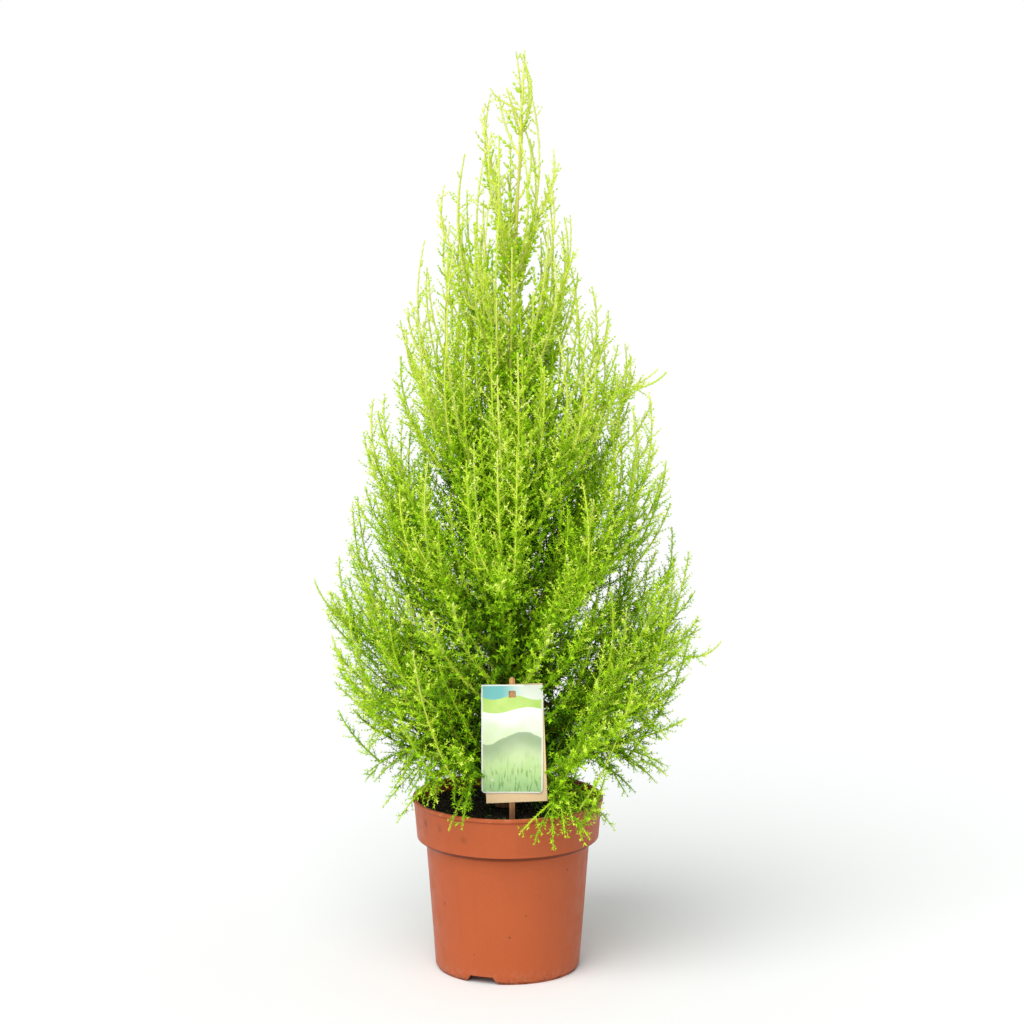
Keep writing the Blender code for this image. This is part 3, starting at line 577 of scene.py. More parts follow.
def print_meadow(look, across, height):
    """A pale sky, a hill and a green meadow with spots of light and blades of grass."""
    sway = look.noise(46.0, 2.0)
    level = look.plus(height, look.times(look.plus(sway, -0.5), 0.034))
    look.body = look.mix(look.ramp(level, 0.050, 0.084), srgb(222, 238, 190), srgb(252, 253, 250))
    look.coat(look.fade(level, 0.020, 0.052), 196, 228, 152)
    look.coat(look.fade(level, 0.0, 0.026), 172, 214, 146)
    ridge = look.plus(look.times(look.wave(across, 88.0, 0.7), 0.007), look.times(sway, 0.012))
    hill = look.math("SUBTRACT", height, ridge)
    look.coat(look.times(look.fade(hill, 0.0500, 0.0508), look.ramp(hill, 0.022, 0.048), 0.62), 104, 138, 98)
    spots = look.times(look.fade(look.cells(150.0), 0.16, 0.30), look.ramp(look.noise(60.0), 0.45, 0.62))
    look.coat(look.times(spots, look.fade(level, 0.026, 0.034, 0.5)), 244, 248, 226)
    grass = look.ramp(look.noise(420.0, 3.0, stretch=(1.0, 0.22, 1.0)), 0.52, 0.64)
    look.coat(look.times(grass, look.fade(level, 0.006, 0.046), 0.7), 96, 150, 66)


def print_band(look, across, up):
    """A lime wave and a teal wave above it, along the top of the card."""
    lime_from = look.plus(look.times(look.wave(across, 95.0), 0.0032), CARD_TOP - 0.026)
    teal_from = look.plus(look.times(look.wave(across, 150.0, 1.2), 0.0022), CARD_TOP - 0.013)
    lime = look.mix(look.noise(55.0, 2.0), srgb(164, 214, 78), srgb(222, 242, 150))
    teal = look.mix(look.ramp(across, -0.012, 0.016), srgb(120, 196, 196), srgb(240, 246, 232))
    waves = look.mix(look.math("GREATER_THAN", up, teal_from), lime, teal)
    look.body = look.mix(look.math("GREATER_THAN", up, lime_from), look.body, waves)


def print_look():
    """Printed card: two waves on top, a meadow below them, a white border and a white back."""
    look = Look("printed_card", 0.34, 0.45)
    across, up, front = look.axes()
    print_meadow(look, across, look.plus(up, CARD_HEIGHT - CARD_TOP))
    print_band(look, across, up)
    side = look.math("GREATER_THAN", look.math("ABSOLUTE", across), CARD_WIDTH / 2 - CARD_BORDER)
    from_middle = look.math("ABSOLUTE", look.plus(up, CARD_HEIGHT / 2 - CARD_TOP))
    ends = look.math("GREATER_THAN", from_middle, CARD_HEIGHT / 2 - CARD_BORDER)
    look.coat(look.math("MAXIMUM", side, ends), 244, 246, 240)
    look.coat(look.math("LESS_THAN", front, 2.0 * GAP + 1.5 * CARD_THICKNESS), 240, 241, 236)
    return look.finished(look.noise(900.0, 2.0), 0.06, 0.0001)


# ---- Meshes


def add_object(name, data):
    made = bpy.data.objects.new(name, data)
    bpy.context.scene.collection.objects.link(made)
    return made


def dress(piece, slot, nodes):
    """Lets a piece ride on the root, in place of its nodes. Its slot is not used."""
    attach(piece, "root")
    if nodes:
        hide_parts(*nodes)


def add_piece(name, points, faces, look, slot=None, nodes=(), smooth=False):
    """A piece of one mesh. Without a slot it is dressed later, or isn't part of the object."""
    mesh = bpy.data.meshes.new(name)
    mesh.from_pydata(points, [], faces, shade_flat=not smooth)
    mesh.materials.append(look)
    piece = add_object(name, mesh)
    if slot:
        dress(piece, slot, nodes)
    return piece


def apply_changes(piece):
    """Makes the piece's mesh what its modifiers make of it."""
    graph = bpy.context.evaluated_depsgraph_get()
    mesh = bpy.data.meshes.new_from_object(piece.evaluated_get(graph))
    piece.modifiers.clear()
    piece.data = mesh


def unit(vectors):
    return vectors / np.maximum(np.linalg.norm(vectors, axis=-1, keepdims=True), 1e-12)


def circle(radius, sides):
    """Points (x, y) round a circle."""
    angles = [math.tau * side / sides for side in range(sides)]
    return [(radius * math.cos(angle), radius * math.sin(angle)) for angle in angles]


def quads_round(rings, sides, turned=False):
    """Quads between neighbouring rings of points, wound one way or the other."""
    first = np.arange(rings - 1)[:, None] * sides
    here = np.arange(sides)[None, :]
    after = (here + 1) % sides
    corners = [first + here, first + after, first + sides + after, first + sides + here]
    if turned:
        corners = [corners[0], *corners[:0:-1]]
    return np.stack(corners, axis=-1).reshape(-1, 4)


# ---- Curves of the tree


def bend(root, middle, tip, share):
    """Points on curves that start at root, head for middle and end at tip."""
    rest = 1.0 - share
    return root * (rest * rest) + middle * (2.0 * rest * share) + tip * (share * share)


def heading(root, middle, tip, share):
    return unit((middle - root) * (1.0 - share) + (tip - middle) * share)


def outwards(azimuth):
    return np.array([math.cos(azimuth), math.sin(azimuth), 0.0])


def trunk_centre(height):
    share = (height - SOIL_TOP) / (CROWN_TOP - SOIL_TOP)
    lean = TRUNK_LEAN * (TRUNK_LEAN_LOW * share + (1.0 - TRUNK_LEAN_LOW) * share**3)
    wander = TRUNK_WANDER * math.sin(math.tau * TRUNK_WANDER_TURNS * share) * (1.0 - share)
    foot = TRUNK_FOOT * (1.0 - share)
    return np.array([foot[0] + lean + wander, foot[1] + wander, height])


def trunk_radius(height):
    return float(np.interp(height - SOIL_TOP, *TRUNK_RADII))


def crown_reach(points):
    """How far the crown reaches at the height and in the direction of each point."""
    heights, lefts, rights = np.array(CROWN_PROFILE).T / MILLIMETRES
    left = np.interp(points[..., 2], heights, lefts)
    right = np.interp(points[..., 2], heights, rights)
    side = points[..., 0] / np.maximum(np.hypot(points[..., 0], points[..., 1]), 1e-9)
    width = 0.5 * (left + right) + 0.5 * (right - left) * side
    return width * (DEPTH_RATIO + (1.0 - DEPTH_RATIO) * side * side)


Plume = namedtuple("Plume", "name curve bough girth blades rise risers")


def plume_curve(tier, member):
    outward = outwards(math.radians(tier.azimuths[member]))
    root_height = tier.root_height + tier.root_step * member
    tip_height = tier.tip_heights[member]
    root = trunk_centre(root_height) + outward * (trunk_radius(root_height) + GAP)
    reach = float(crown_reach(outward + UP * tip_height))
    tip = outward * reach + UP * tip_height
    middle = outward * (tier.spread * reach) + UP * (root_height + tier.lift)
    return root, middle, tip


def all_plumes():
    top = trunk_centre(TRUNK_TOP + GAP)
    tip = trunk_centre(CROWN_TOP)
    plumes = [Plume(TOP_NAME, (top, (top + tip) / 2, tip), 0.0, TOP_GIRTH, TOP_BLADES, TOP_RISE, 0)]
    for tier in TIERS:
        for member in range(len(tier.azimuths)):
            name = f"foliage_{tier.name}_{member + 1}"
            plumes.append(Plume(name, plume_curve(tier, member), tier.bough, tier.girth, tier.blades,
                                tier.rise, tier.risers))
    return plumes


def foliage_start(plume):
    """Where on its axis a plume starts: just beyond its bough."""
    if not plume.bough:
        return 0.0
    stride = bend(*plume.curve, plume.bough + SPEED_STEP) - bend(*plume.curve, plume.bough)
    return plume.bough + GAP / (np.linalg.norm(stride) / SPEED_STEP)


# ---- Where twigs may be


def label_frame():
    lean = Matrix.Rotation(math.radians(90.0) + LABEL_LEAN, 4, "X")
    return Matrix.Translation(LABEL_FOOT) @ lean


TO_LABEL = np.array(label_frame().inverted())


def allowed(points):
    """Whether each point is in the crown and clear of the pot's wall, the compost and the cards."""
    spread = np.hypot(points[..., 0], points[..., 1])
    height = points[..., 2]
    in_crown = (spread <= CROWN_SLACK * crown_reach(points)) & (height <= CROWN_TOP)
    by_pot = (spread < RIM_RADIUS + TWIG_MARGIN) & (height < POT_HEIGHT + TWIG_MARGIN)
    in_bowl = (spread < INNER_RIM - TWIG_MARGIN) & (height > SOIL_TOP + TWIG_MARGIN)
    local = points @ TO_LABEL[:3, :3].T + TO_LABEL[:3, 3]
    across, up, front = local[..., 0], local[..., 1], local[..., 2]
    beside = np.abs(across - LABEL_MIDDLE) > LABEL_CLEARANCE
    above = up > STICK_TOP + LABEL_MARGIN
    behind = front < -STICK_THICKNESS - TWIG_MARGIN
    below = (up < CARD_TOP - BACK_CARD_HEIGHT - LABEL_MARGIN) & (front > TWIG_MARGIN)
    return in_crown & (~by_pot | in_bowl) & (beside | above | behind | below)


# ---- Side shoots and leaders


Shoot = namedtuple("Shoot", "root direction length")
Twigs = namedtuple("Twigs", "root middle tip")
Kind = namedtuple("Kind", "name twigs radii rings sides apart")


def shoots(plume, index):
    """The side shoots of the solids' rule, slimmer towards the tip of the axis."""
    dice = random.Random(SEED + SHOOT_SEED_STEP * index)
    count = plume.blades * SHOOTS_PER_BLADE
    start = foliage_start(plume)
    for number in range(count):
        place = FIRST_SHOOT + (LAST_SHOOT - FIRST_SHOOT) * (number + 0.5) / count
        share = start + (1.0 - start) * place
        tangent = Vector(heading(*plume.curve, share))
        turn = number * GOLDEN_ANGLE + dice.uniform(-TURN_JITTER, TURN_JITTER)
        side = Matrix.Rotation(turn, 3, tangent) @ tangent.orthogonal().normalized()
        pitch = dice.uniform(*SHOOT_PITCH)
        direction = tangent * math.cos(pitch) + side * math.sin(pitch)
        fullness = min(1.0, ROOT_FULLNESS + FULLNESS_RISE * place)
        fullness *= 1.0 - TIP_THINNING * place**TIP_THINNING_POWER
        length = plume.girth * fullness * dice.uniform(*SHOOT_LENGTH)
        dice.uniform(0.0, math.pi)  # the solids' rule turns its blades here
        slim = 1.0 - (1.0 - SLIM_TIP) * max(0.0, (place - SLIM_FROM) / (1.0 - SLIM_FROM))
        root = bend(*plume.curve, share)
        yield Shoot(root, np.array(direction), length * slim * float(np.interp(root[2], *FAN_BY_HEIGHT)))


def fitted_curve(shoot, rise):
    """The longest curve of a shoot that stays where twigs may be, or none."""
    for share in SHRINK_STEPS:
        length = shoot.length * share
        if length < SHORTEST_SHOOT:
            return None
        middle = shoot.root + shoot.direction * (0.45 * length)
        tip = middle + unit(shoot.direction + UP * rise) * (0.55 * length)
        if allowed(bend(shoot.root, middle, tip, SHOOT_TESTS)).all():
            return shoot.root, middle, tip
    return None


def risen(root, azimuth, rise, slope, reach, bulge):
    """The longest axis from a root that rises and leans outwards inside the crown's outline, or none."""
    outward = outwards(azimuth)
    start = math.hypot(root[0], root[1])
    for share in AXIS_STEPS:
        top = root[2] + rise * share
        spread = start + abs(rise) * share * slope
        if top > CROWN_TOP or spread > reach * float(crown_reach(outward + UP * top)):
            continue
        tip = outward * spread + UP * top
        middle = 0.5 * (root + tip) + (outward if rise > 0.0 else UP) * (bulge * np.linalg.norm(tip - root))
        if allowed(bend(root, middle, tip, AXIS_TESTS)).all():
            return root, middle, tip
    return None


def lean_of(height, slopes, dice):
    """A random outward lean for an axis rooted at a height: mostly small, now and then large."""
    least, most = (float(np.interp(height, SLOPE_HEIGHTS, side)) for side in slopes)
    return least + (most - least) * dice.random() ** LEAN_POWER


def leaders(plume, index, side_shoots):
    """Secondary axes that turn up from the plume's side shoots, or hang outwards near the pot."""
    dice = random.Random(SEED + LEADER_SEED_STEP * index)
    for number in range(plume.risers if side_shoots else 0):
        parent = side_shoots[int((number + dice.random()) * len(side_shoots) / plume.risers)]
        root = bend(*parent, dice.uniform(*LEADER_FROM))
        azimuth = math.atan2(root[1], root[0]) + dice.uniform(*LEADER_TURN) * (1 if number % 2 else -1)
        rise = dice.uniform(*LEADER_HEIGHT)
        slope = lean_of(root[2], LEADER_SLOPE, dice)
        droop = dice.uniform(*DROOP)
        if number % 2 and root[2] < DROOP_BELOW:
            rise, slope = -droop, DROOP_SLOPE
        yield risen(root, azimuth, rise, slope, dice.uniform(*LEADER_REACH), LEADER_BULGE)


def inner_leaders():
    """Axes that leave the stem and rise inside the crown, round it in a spiral."""
    dice = random.Random(SEED + LEADER_SEED_STEP)
    low, high = INNER_HEIGHTS
    for number in range(INNER_LEADERS):
        share = ((number + dice.random()) / INNER_LEADERS) ** INNER_LOW
        height = low + (high - low) * share
        azimuth = number * GOLDEN_ANGLE
        root = trunk_centre(height) + outwards(azimuth) * trunk_radius(height)
        rise = dice.uniform(*INNER_RISE) * (1.0 - (1.0 - INNER_RISE_AT_TOP) * share * share)
        slope = lean_of(height, INNER_SLOPE, dice)
        yield risen(root, azimuth, rise, slope, dice.uniform(*LEADER_REACH), INNER_BULGE)


def spaced(curves):
    """The axes, outermost first, whose middle and tip keep clear of those of the ones before."""
    curves = [curve for curve in curves if curve]
    marks = np.array([[bend(*curve, share) for share in LEADER_MARKS] for curve in curves])
    order = np.argsort(-depth_of(marks[:, 1]), kind="stable")
    marks[..., 2] *= LEADER_SQUASH
    kept = []
    for number in order:
        away = np.linalg.norm(marks[kept] - marks[number], axis=2)
        if not len(kept) or (away > LEADER_ROOM).all():
            kept.append(number)
    return [curves[number] for number in kept]


def sprigs(axes):
    """Single twigs, each rooted on the plumes' axes near where its line runs back to them."""
    points = np.concatenate([bend(*axes, share) for share in SPRIG_SHARES])
    for middle, tip in (np.array(SPRIGS) / MILLIMETRES).reshape(-1, 2, 3):
        back = (1.0 + SPRIG_BACK) * middle - SPRIG_BACK * tip
        nearest = np.argmin(np.linalg.norm(points - back, axis=1))
        yield points[nearest], middle, tip


# ---- Shoots and sprays


def joined(curves):
    return Twigs(*[np.array(part) for part in zip(*curves)])


def picked(twigs, which):
    return Twigs(*[part[which] for part in twigs])


def together(groups):
    return Twigs(*[np.concatenate(parts) for parts in zip(*groups)])


def run_of(twigs):
    """The length of each twig, from its root by its middle to its tip."""
    low = np.linalg.norm(twigs.middle - twigs.root, axis=1)
    return low + np.linalg.norm(twigs.tip - twigs.middle, axis=1)


def frame_across(tangent):
    """Two directions across each tangent."""
    flat = np.abs(tangent[..., 2:]) > 0.9
    other = np.where(flat, np.array([1.0, 0.0, 0.0]), UP)
    side = unit(np.cross(tangent, other))
    return side, np.cross(tangent, side)


def splayed(curve, share, turn, pitch):
    """Tangents of curves and the directions that stand off them at a turn and a pitch."""
    tangent = heading(*curve, share)
    side, up = frame_across(tangent)
    outward = side * np.cos(turn) + up * np.sin(turn)
    return tangent, tangent * np.cos(pitch) + outward * np.sin(pitch)


def numbered(counts):
    """For each item of groups of these sizes: its group and its number in that group."""
    group = np.repeat(np.arange(len(counts)), counts)
    return group, np.arange(counts.sum()) - np.repeat(np.cumsum(counts) - counts, counts)


def grown_on(parents, growth, dice):
    """Twigs along other twigs, in a spiral, shorter towards the tip of each."""
    run = run_of(parents)
    counts = np.maximum(0, (run - growth.first) / growth.spacing).astype(int)
    parent, order = numbered(counts)
    total = len(parent)
    place = order + dice.uniform(-SPACING_JITTER, SPACING_JITTER, total)
    share = (growth.first + growth.spacing * place) / run[parent]
    share = np.clip(share, 0.02, 0.985)[:, None]
    curve = picked(parents, parent)
    phase = dice.uniform(0.0, math.tau, len(run))[parent]
    turn = order * GOLDEN_ANGLE + phase + dice.uniform(-TWIG_TURN_JITTER, TWIG_TURN_JITTER, total)
    pitch = dice.uniform(*growth.pitch, total)
    tangent, direction = splayed(curve, share, turn[:, None], pitch[:, None])
    left = run[parent][:, None] * (1.0 - share)
    full = growth.fullness + (1.0 - growth.fullness) * np.minimum(1.0, share / 0.25)
    length = np.minimum(growth.spread * left, growth.longest) * full
    length = np.maximum(length * dice.uniform(*TWIG_LENGTH_RANGE, total)[:, None], growth.shortest)
    root = bend(*curve, share)
    middle = root + direction * (0.5 * length)
    tip = middle + unit(direction + (tangent + UP) * growth.rise) * (0.5 * length)
    return picked(Twigs(root, middle, tip), allowed(tip) & allowed(0.5 * (root + tip)))


def depth_of(points):
    """0 at the stem and 1 at the outside of the crown."""
    return np.clip(np.hypot(points[:, 0], points[:, 1]) / crown_reach(points), 0.0, 1.1)


def sprouted(parents, growth, dice):
    """Grows twigs, then leaves out part of those deep inside and of those near the top."""
    twigs = grown_on(parents, growth, dice)
    open_top = np.interp(twigs.middle[:, 2], *OPEN_TOP)
    kept = (KEPT_INSIDE + KEPT_OUTSIDE_MORE * depth_of(twigs.middle)) * open_top
    return picked(twigs, dice.random(len(twigs.root)) < kept)


def main_axes(plumes):
    """The plumes' axes, their side shoots, and the leaders and sprigs."""
    axes, longs, risers = [], [], []
    for index, plume in enumerate(plumes):
        start = foliage_start(plume)
        middle = plume.curve[1] * (1.0 - start) + plume.curve[2] * start
        axes.append((bend(*plume.curve, start), middle, plume.curve[2]))
        fitted = [fitted_curve(shoot, plume.rise) for shoot in shoots(plume, index)]
        own = [curve for curve in fitted if curve]
        longs += own
        risers += leaders(plume, index, own)
    axes = joined(axes)
    risers = spaced(risers) + spaced(inner_leaders()) + list(sprigs(axes))
    return axes, joined(longs), joined(risers)


def grow_tree(plumes):
    """All twigs by kind, with the scale of the distance between their whorls."""
    dice = np.random.default_rng(SEED)
    axes, longs, risers = main_axes(plumes)
    riser_shoots = sprouted(risers, LEADER_SHOOTS, dice)
    axis_shoots = grown_on(axes, LEADER_SHOOTS, dice)
    sprays = sprouted(longs, LONG_SPRAYS, dice)
    tufts = together([sprouted(parents, SHORT_SPRAYS, dice) for parents in (riser_shoots, axis_shoots)])
    return (
        Kind("axes", axes, AXIS_RADIUS, 24, 5, 1.5),
        Kind("leaders", risers, LEADER_RADIUS, 8, 4, 0.68),
        Kind("longs", longs, SHOOT_RADIUS, 5, 3, 1.4),
        Kind("shoots", together((riser_shoots, axis_shoots)), LEADER_SHOOTS.radius, 2, 3, 1.0),
        Kind("sprays", sprays, LONG_SPRAYS.radius, 2, 3, 1.0),
        Kind("tufts", tufts, SHORT_SPRAYS.radius, 1, 3, 1.0),
    )


def twig_tubes(twigs, radii, rings, sides):
    """Points and triangles of thin tapering twigs that end in a point."""
    corners = (np.arange(sides) * (math.tau / sides))[None, :, None]
    loops = []
    for ring in range(rings):
        share = ring / rings
        side, up = frame_across(heading(*twigs, share))
        radius = radii[0] + (radii[1] - radii[0]) * share
        wheel = side[:, None, :] * np.cos(corners) + up[:, None, :] * np.sin(corners)
        loops.append(bend(*twigs, share)[:, None, :] + wheel * radius)
    points = np.concatenate([*loops, twigs.tip[:, None, :]], axis=1)
    pattern = []
    for a, b, c, d in quads_round(rings, sides):
        pattern += [(a, b, c), (a, c, d)]
    last = (rings - 1) * sides
    end = rings * sides
    for corner in range(sides):
        pattern.append((last + corner, last + (corner + 1) % sides, end))
    faces = np.array(pattern)[None, :, :] + (np.arange(len(twigs.root)) * (end + 1))[:, None, None]
    return points.reshape(-1, 3), faces.reshape(-1, 3)


def between(pair, share):
    return pair[0] + (pair[1] - pair[0]) * share


def needles_on(twigs, spacing, dice):
    """Needles in whorls along twigs: points of each kite (n, 4, 3), its twig and its share along it."""
    scale = 1.0 + np.clip((INNER_DEPTH - depth_of(twigs.middle)) / INNER_FADE, 0.0, 1.0)
    counts = np.maximum(1, np.round(run_of(twigs) / (spacing * scale))).astype(int)
    whorl_twig, order = numbered(counts)
    twig = np.repeat(whorl_twig, NEEDLES_IN_WHORL)
    share = np.repeat((order + WHORL_START) / counts[whorl_twig], NEEDLES_IN_WHORL)
    phase = np.repeat(order * WHORL_TWIST + dice.uniform(0.0, 0.6, len(order)), NEEDLES_IN_WHORL)
    member = np.tile(np.arange(NEEDLES_IN_WHORL), len(order))
    total = len(share)
    nodes = np.maximum(1, np.round(run_of(twigs) / NODE_DISTANCE))[twig]
    crowding = np.interp(twigs.middle[:, 2], *NODE_CROWDING)[twig]
    share = share - crowding * np.sin(math.tau * share * nodes) / (math.tau * nodes)
    share = np.clip(share + dice.uniform(-0.02, 0.02, total), 0.02, 0.995)[:, None]
    turn = phase + member * (math.tau / NEEDLES_IN_WHORL)
    turn = (turn + dice.uniform(-NEEDLE_TURN_JITTER, NEEDLE_TURN_JITTER, total))[:, None]
    curve = picked(twigs, twig)
    high = np.interp(twigs.tip[:, 2], *CLUB_HEIGHTS)[twig][:, None]
    pitch = between(NEEDLE_PITCH, share**2) * (1.0 - CLUB_SLIM * high)
    pitch = pitch + dice.uniform(-PITCH_JITTER, PITCH_JITTER, total)[:, None]
    tangent, direction = splayed(curve, share, turn, pitch)
    size = scale[twig][:, None]
    length = between(NEEDLE_LENGTH, share) * size * dice.uniform(*NEEDLE_LENGTH_RANGE, total)[:, None]
    across = unit(np.cross(direction, tangent)) * (0.5 * NEEDLE_WIDTH * size * (1.0 + CLUB_WIDEN * high))
    fold = np.cross(across, direction) * (2.0 * NEEDLE_FOLD)
    base = bend(*curve, share)
    waist = base + direction * (length * NEEDLE_WIDEST)
    kites = np.stack([base, waist + across + fold, base + direction * length, waist - across + fold], axis=1)
    return kites, twig, share[:, 0]


# ---- Foliage in its colours


def light_of(points, dice):
    """How light the foliage at a place is: dark inside and low down, light outside and at the top."""
    height = np.clip((points[:, 2] - POT_HEIGHT) / (CROWN_TOP - POT_HEIGHT), 0.0, 1.0)
    inner = np.interp(height, (0.0, 1.0), INNER_SHADE) * (1.0 - depth_of(points) ** 2)
    return np.interp(height, *OUTER_LIGHT) - inner + dice.uniform(-LIGHT_SPREAD, LIGHT_SPREAD, len(points))


def tone_of(light, step, tones):
    return np.clip((light - DARKEST) / step, 0, len(tones) - 1).astype(int)


def build_needles(kinds):
    """Joins the needles of all twigs by colour."""
    dice = np.random.default_rng(SEED + 5)
    kites, tones = [], []
    for kind in kinds:
        made, twig, share = needles_on(kind.twigs, WHORL_SPACING * kind.apart, dice)
        high = np.interp(kind.twigs.tip[:, 2], *CLUB_HEIGHTS)[twig]
        along = np.where(share > TIP_FROM, TIP_LIGHT[1], TIP_LIGHT[0]) * (1.0 - high)
        light = light_of(kind.twigs.tip, dice)[twig] + along - CLUB_SHADE * high
        kites.append(made)
        tones.append(tone_of(light, NEEDLE_TONE_STEP, TONES))
    kites = np.concatenate(kites)
    tones = np.concatenate(tones)
    nodes = [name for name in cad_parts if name.startswith("foliage_")]
    for tone, (name, colour) in enumerate(TONES):
        chosen = kites[tones == tone]
        look = plain_look(f"needles_{name}", srgb(*colour), 0.7)
        parts = max(1, math.ceil(len(chosen) / PIECE_LIMIT))
        for part in range(parts):
            mine = chosen[part::parts]
            corners = np.arange(len(mine))[:, None, None] * 4
            faces = (corners + np.array([[0, 1, 2], [0, 2, 3]])[None]).reshape(-1, 3)
            add_piece(f"needles_{name}_{part + 1}", mine.reshape(-1, 3), faces, look, "foliage", nodes)


def build_twigs(kinds):
    """Joins the twigs by kind and colour."""
    dice = np.random.default_rng(SEED + 9)
    for kind in kinds:
        tone = tone_of(light_of(kind.twigs.middle, dice), TWIG_TONE_STEP, TWIG_TONES)
        for number, (colour_name, colour) in enumerate(TWIG_TONES):
            mine = picked(kind.twigs, tone == number)
            if not len(mine.root):
                continue
            name = f"twigs_{kind.name}_{colour_name}"
            points, faces = twig_tubes(mine, kind.radii, kind.rings, kind.sides)
            add_piece(name, points, faces, plain_look(name, srgb(*colour), 0.6), "foliage", smooth=True)


# ---- Trunk and boughs


def bark_tube(path, radii, sides, relief, seed):
    """A limb with ridged bark: points and quads, with its two ends closed by a fan of small quads."""
    path = np.array(path)
    side, up = frame_across(unit(np.gradient(path, axis=0)))
    across, along = BARK_GRAIN
    knob_height, knob_scale = BARK_KNOBS
    points = []
    for ring in range(len(path)):
        for angle in np.arange(sides) * (math.tau / sides):
            outward = side[ring] * math.cos(angle) + up[ring] * math.sin(angle)
            spot = path[ring] + outward * radii[ring]
            probe = Vector((spot[0] * across + seed, spot[1] * across, spot[2] * along))
            ridge = 1.0 - abs(noise.noise(probe)) * 2.0
            knob = noise.noise(Vector(spot) * knob_scale)
            swell = 1.0 + relief * (ridge - 0.6) + knob_height * knob
            points.append(path[ring] + outward * (radii[ring] * swell))
    faces = quads_round(len(path), sides).tolist()
    for ring, step in ((0, -1), (len(path) - 1, 1)):
        centre = len(points)
        points.append(path[ring])
        first = ring * sides
        for corner in range(0, sides, 2):
            quad = (first + corner, first + (corner + 1) % sides, first + (corner + 2) % sides, centre)
            faces.append(quad[::step])
    return points, faces


def build_trunk():
    rings, sides, relief = TRUNK_MESH
    heights = np.linspace(TRUNK_FOOT[2], TRUNK_TOP, rings)
    path = [trunk_centre(height) for height in heights]
    radii = [trunk_radius(height) for height in heights]
    look = bark_look("stem_bark", (92, 62, 38), (150, 112, 74), 0.50, (206, 204, 96))
    points, faces = bark_tube(path, radii, sides, relief, 0.0)
    add_piece("trunk_bark", points, faces, look, "bark", ["trunk"], smooth=True)


def build_boughs(plumes):
    rings, sides, relief = BOUGH_MESH
    points, faces = [], []
    for index, plume in enumerate(plumes):
        if not plume.bough:
            continue
        path = [bend(*plume.curve, share) for share in np.linspace(0.0, plume.bough, rings)]
        radii = np.linspace(*BOUGH_RADIUS, rings)
        more, quads = bark_tube(path, radii, sides, relief, 7.0 * index)
        faces += [[corner + len(points) for corner in quad] for quad in quads]
        points += more
    look = bark_look("bough_bark", (78, 64, 32), (122, 104, 54), 0.24, (160, 164, 64))
    nodes = [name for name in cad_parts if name.startswith("bough_")]
    add_piece("boughs_bark", points, faces, look, "bough_bark", nodes, smooth=True)


# ---- Pot


def arc(centre_radius, centre_height, size, start, end, steps=4):
    """Points of an arc in a profile, angles in degrees from outward, anticlockwise."""
    points = []
    for step in range(steps + 1):
        angle = math.radians(start + (end - start) * step / steps)
        points.append((centre_radius + size * math.cos(angle), centre_height + size * math.sin(angle)))
    return points


def line(first, last, steps):
    """Points of a straight run, without its ends."""
    points = []
    for step in range(1, steps):
        share = step / steps
        points.append((first[0] + (last[0] - first[0]) * share, first[1] + (last[1] - first[1]) * share))
    return points


def pot_profile():
    """From the middle of the floor inside, up the wall, over the rim and down to the middle underneath."""
    floor = FLOOR_UNDERSIDE + WALL
    lip = RIM_RADIUS - BEAD_DEPTH - WALL
    edge_height = POT_HEIGHT - LIP_EDGE
    bead_bottom = POT_HEIGHT - BEAD_HEIGHT
    collar = (COLLAR_BOTTOM_RADIUS - WALL, COLLAR_BOTTOM)
    top = (RIM_RADIUS - BEAD_DEPTH, bead_bottom - 0.0004)
    bottom = (COLLAR_BOTTOM_RADIUS + 0.0001, COLLAR_BOTTOM + 0.0010)
    shoulder = [(BODY_TOP_RADIUS + out, SHOULDER_BOTTOM + up) for out, up in SHOULDER_STEPS]
    foot = [(BODY_FOOT_RADIUS - inwards, height) for inwards, height in FOOT_STEPS]
    ring_inside = foot[-1][0] - FOOT_RING_WIDTH
    profile = [(PINHOLE, floor), (BODY_FOOT_RADIUS - WALL, floor)]
    profile += [(BODY_TOP_RADIUS - WALL, SHOULDER_BOTTOM + 0.6 * WALL)]
    profile += [(collar[0], COLLAR_BOTTOM + 0.2 * WALL)]
    profile += line(collar, (lip, POT_HEIGHT - 0.001), 5)
    profile += arc(lip + LIP_EDGE, edge_height, LIP_EDGE, 180.0, 90.0)
    profile += arc(RIM_RADIUS - LIP_EDGE, edge_height, LIP_EDGE, 90.0, 0.0)
    profile += arc(RIM_RADIUS - BEAD_EDGE, bead_bottom + 0.0006, BEAD_EDGE, 0.0, -70.0)
    profile += [top] + line(top, bottom, 9)
    profile += arc(COLLAR_BOTTOM_RADIUS - 0.0009, COLLAR_BOTTOM + 0.0006, 0.0010, 10.0, -62.0)
    profile += line(profile[-1], shoulder[0], 4) + shoulder
    profile += line(shoulder[-1], foot[0], 16) + foot
    profile += [(ring_inside, 0.0), (ring_inside, FLOOR_UNDERSIDE)]
    profile += [(BOSS_RADIUS + BOSS_TAPER, FLOOR_UNDERSIDE), (BOSS_RADIUS, 0.0), (PINHOLE, 0.0)]
    return profile


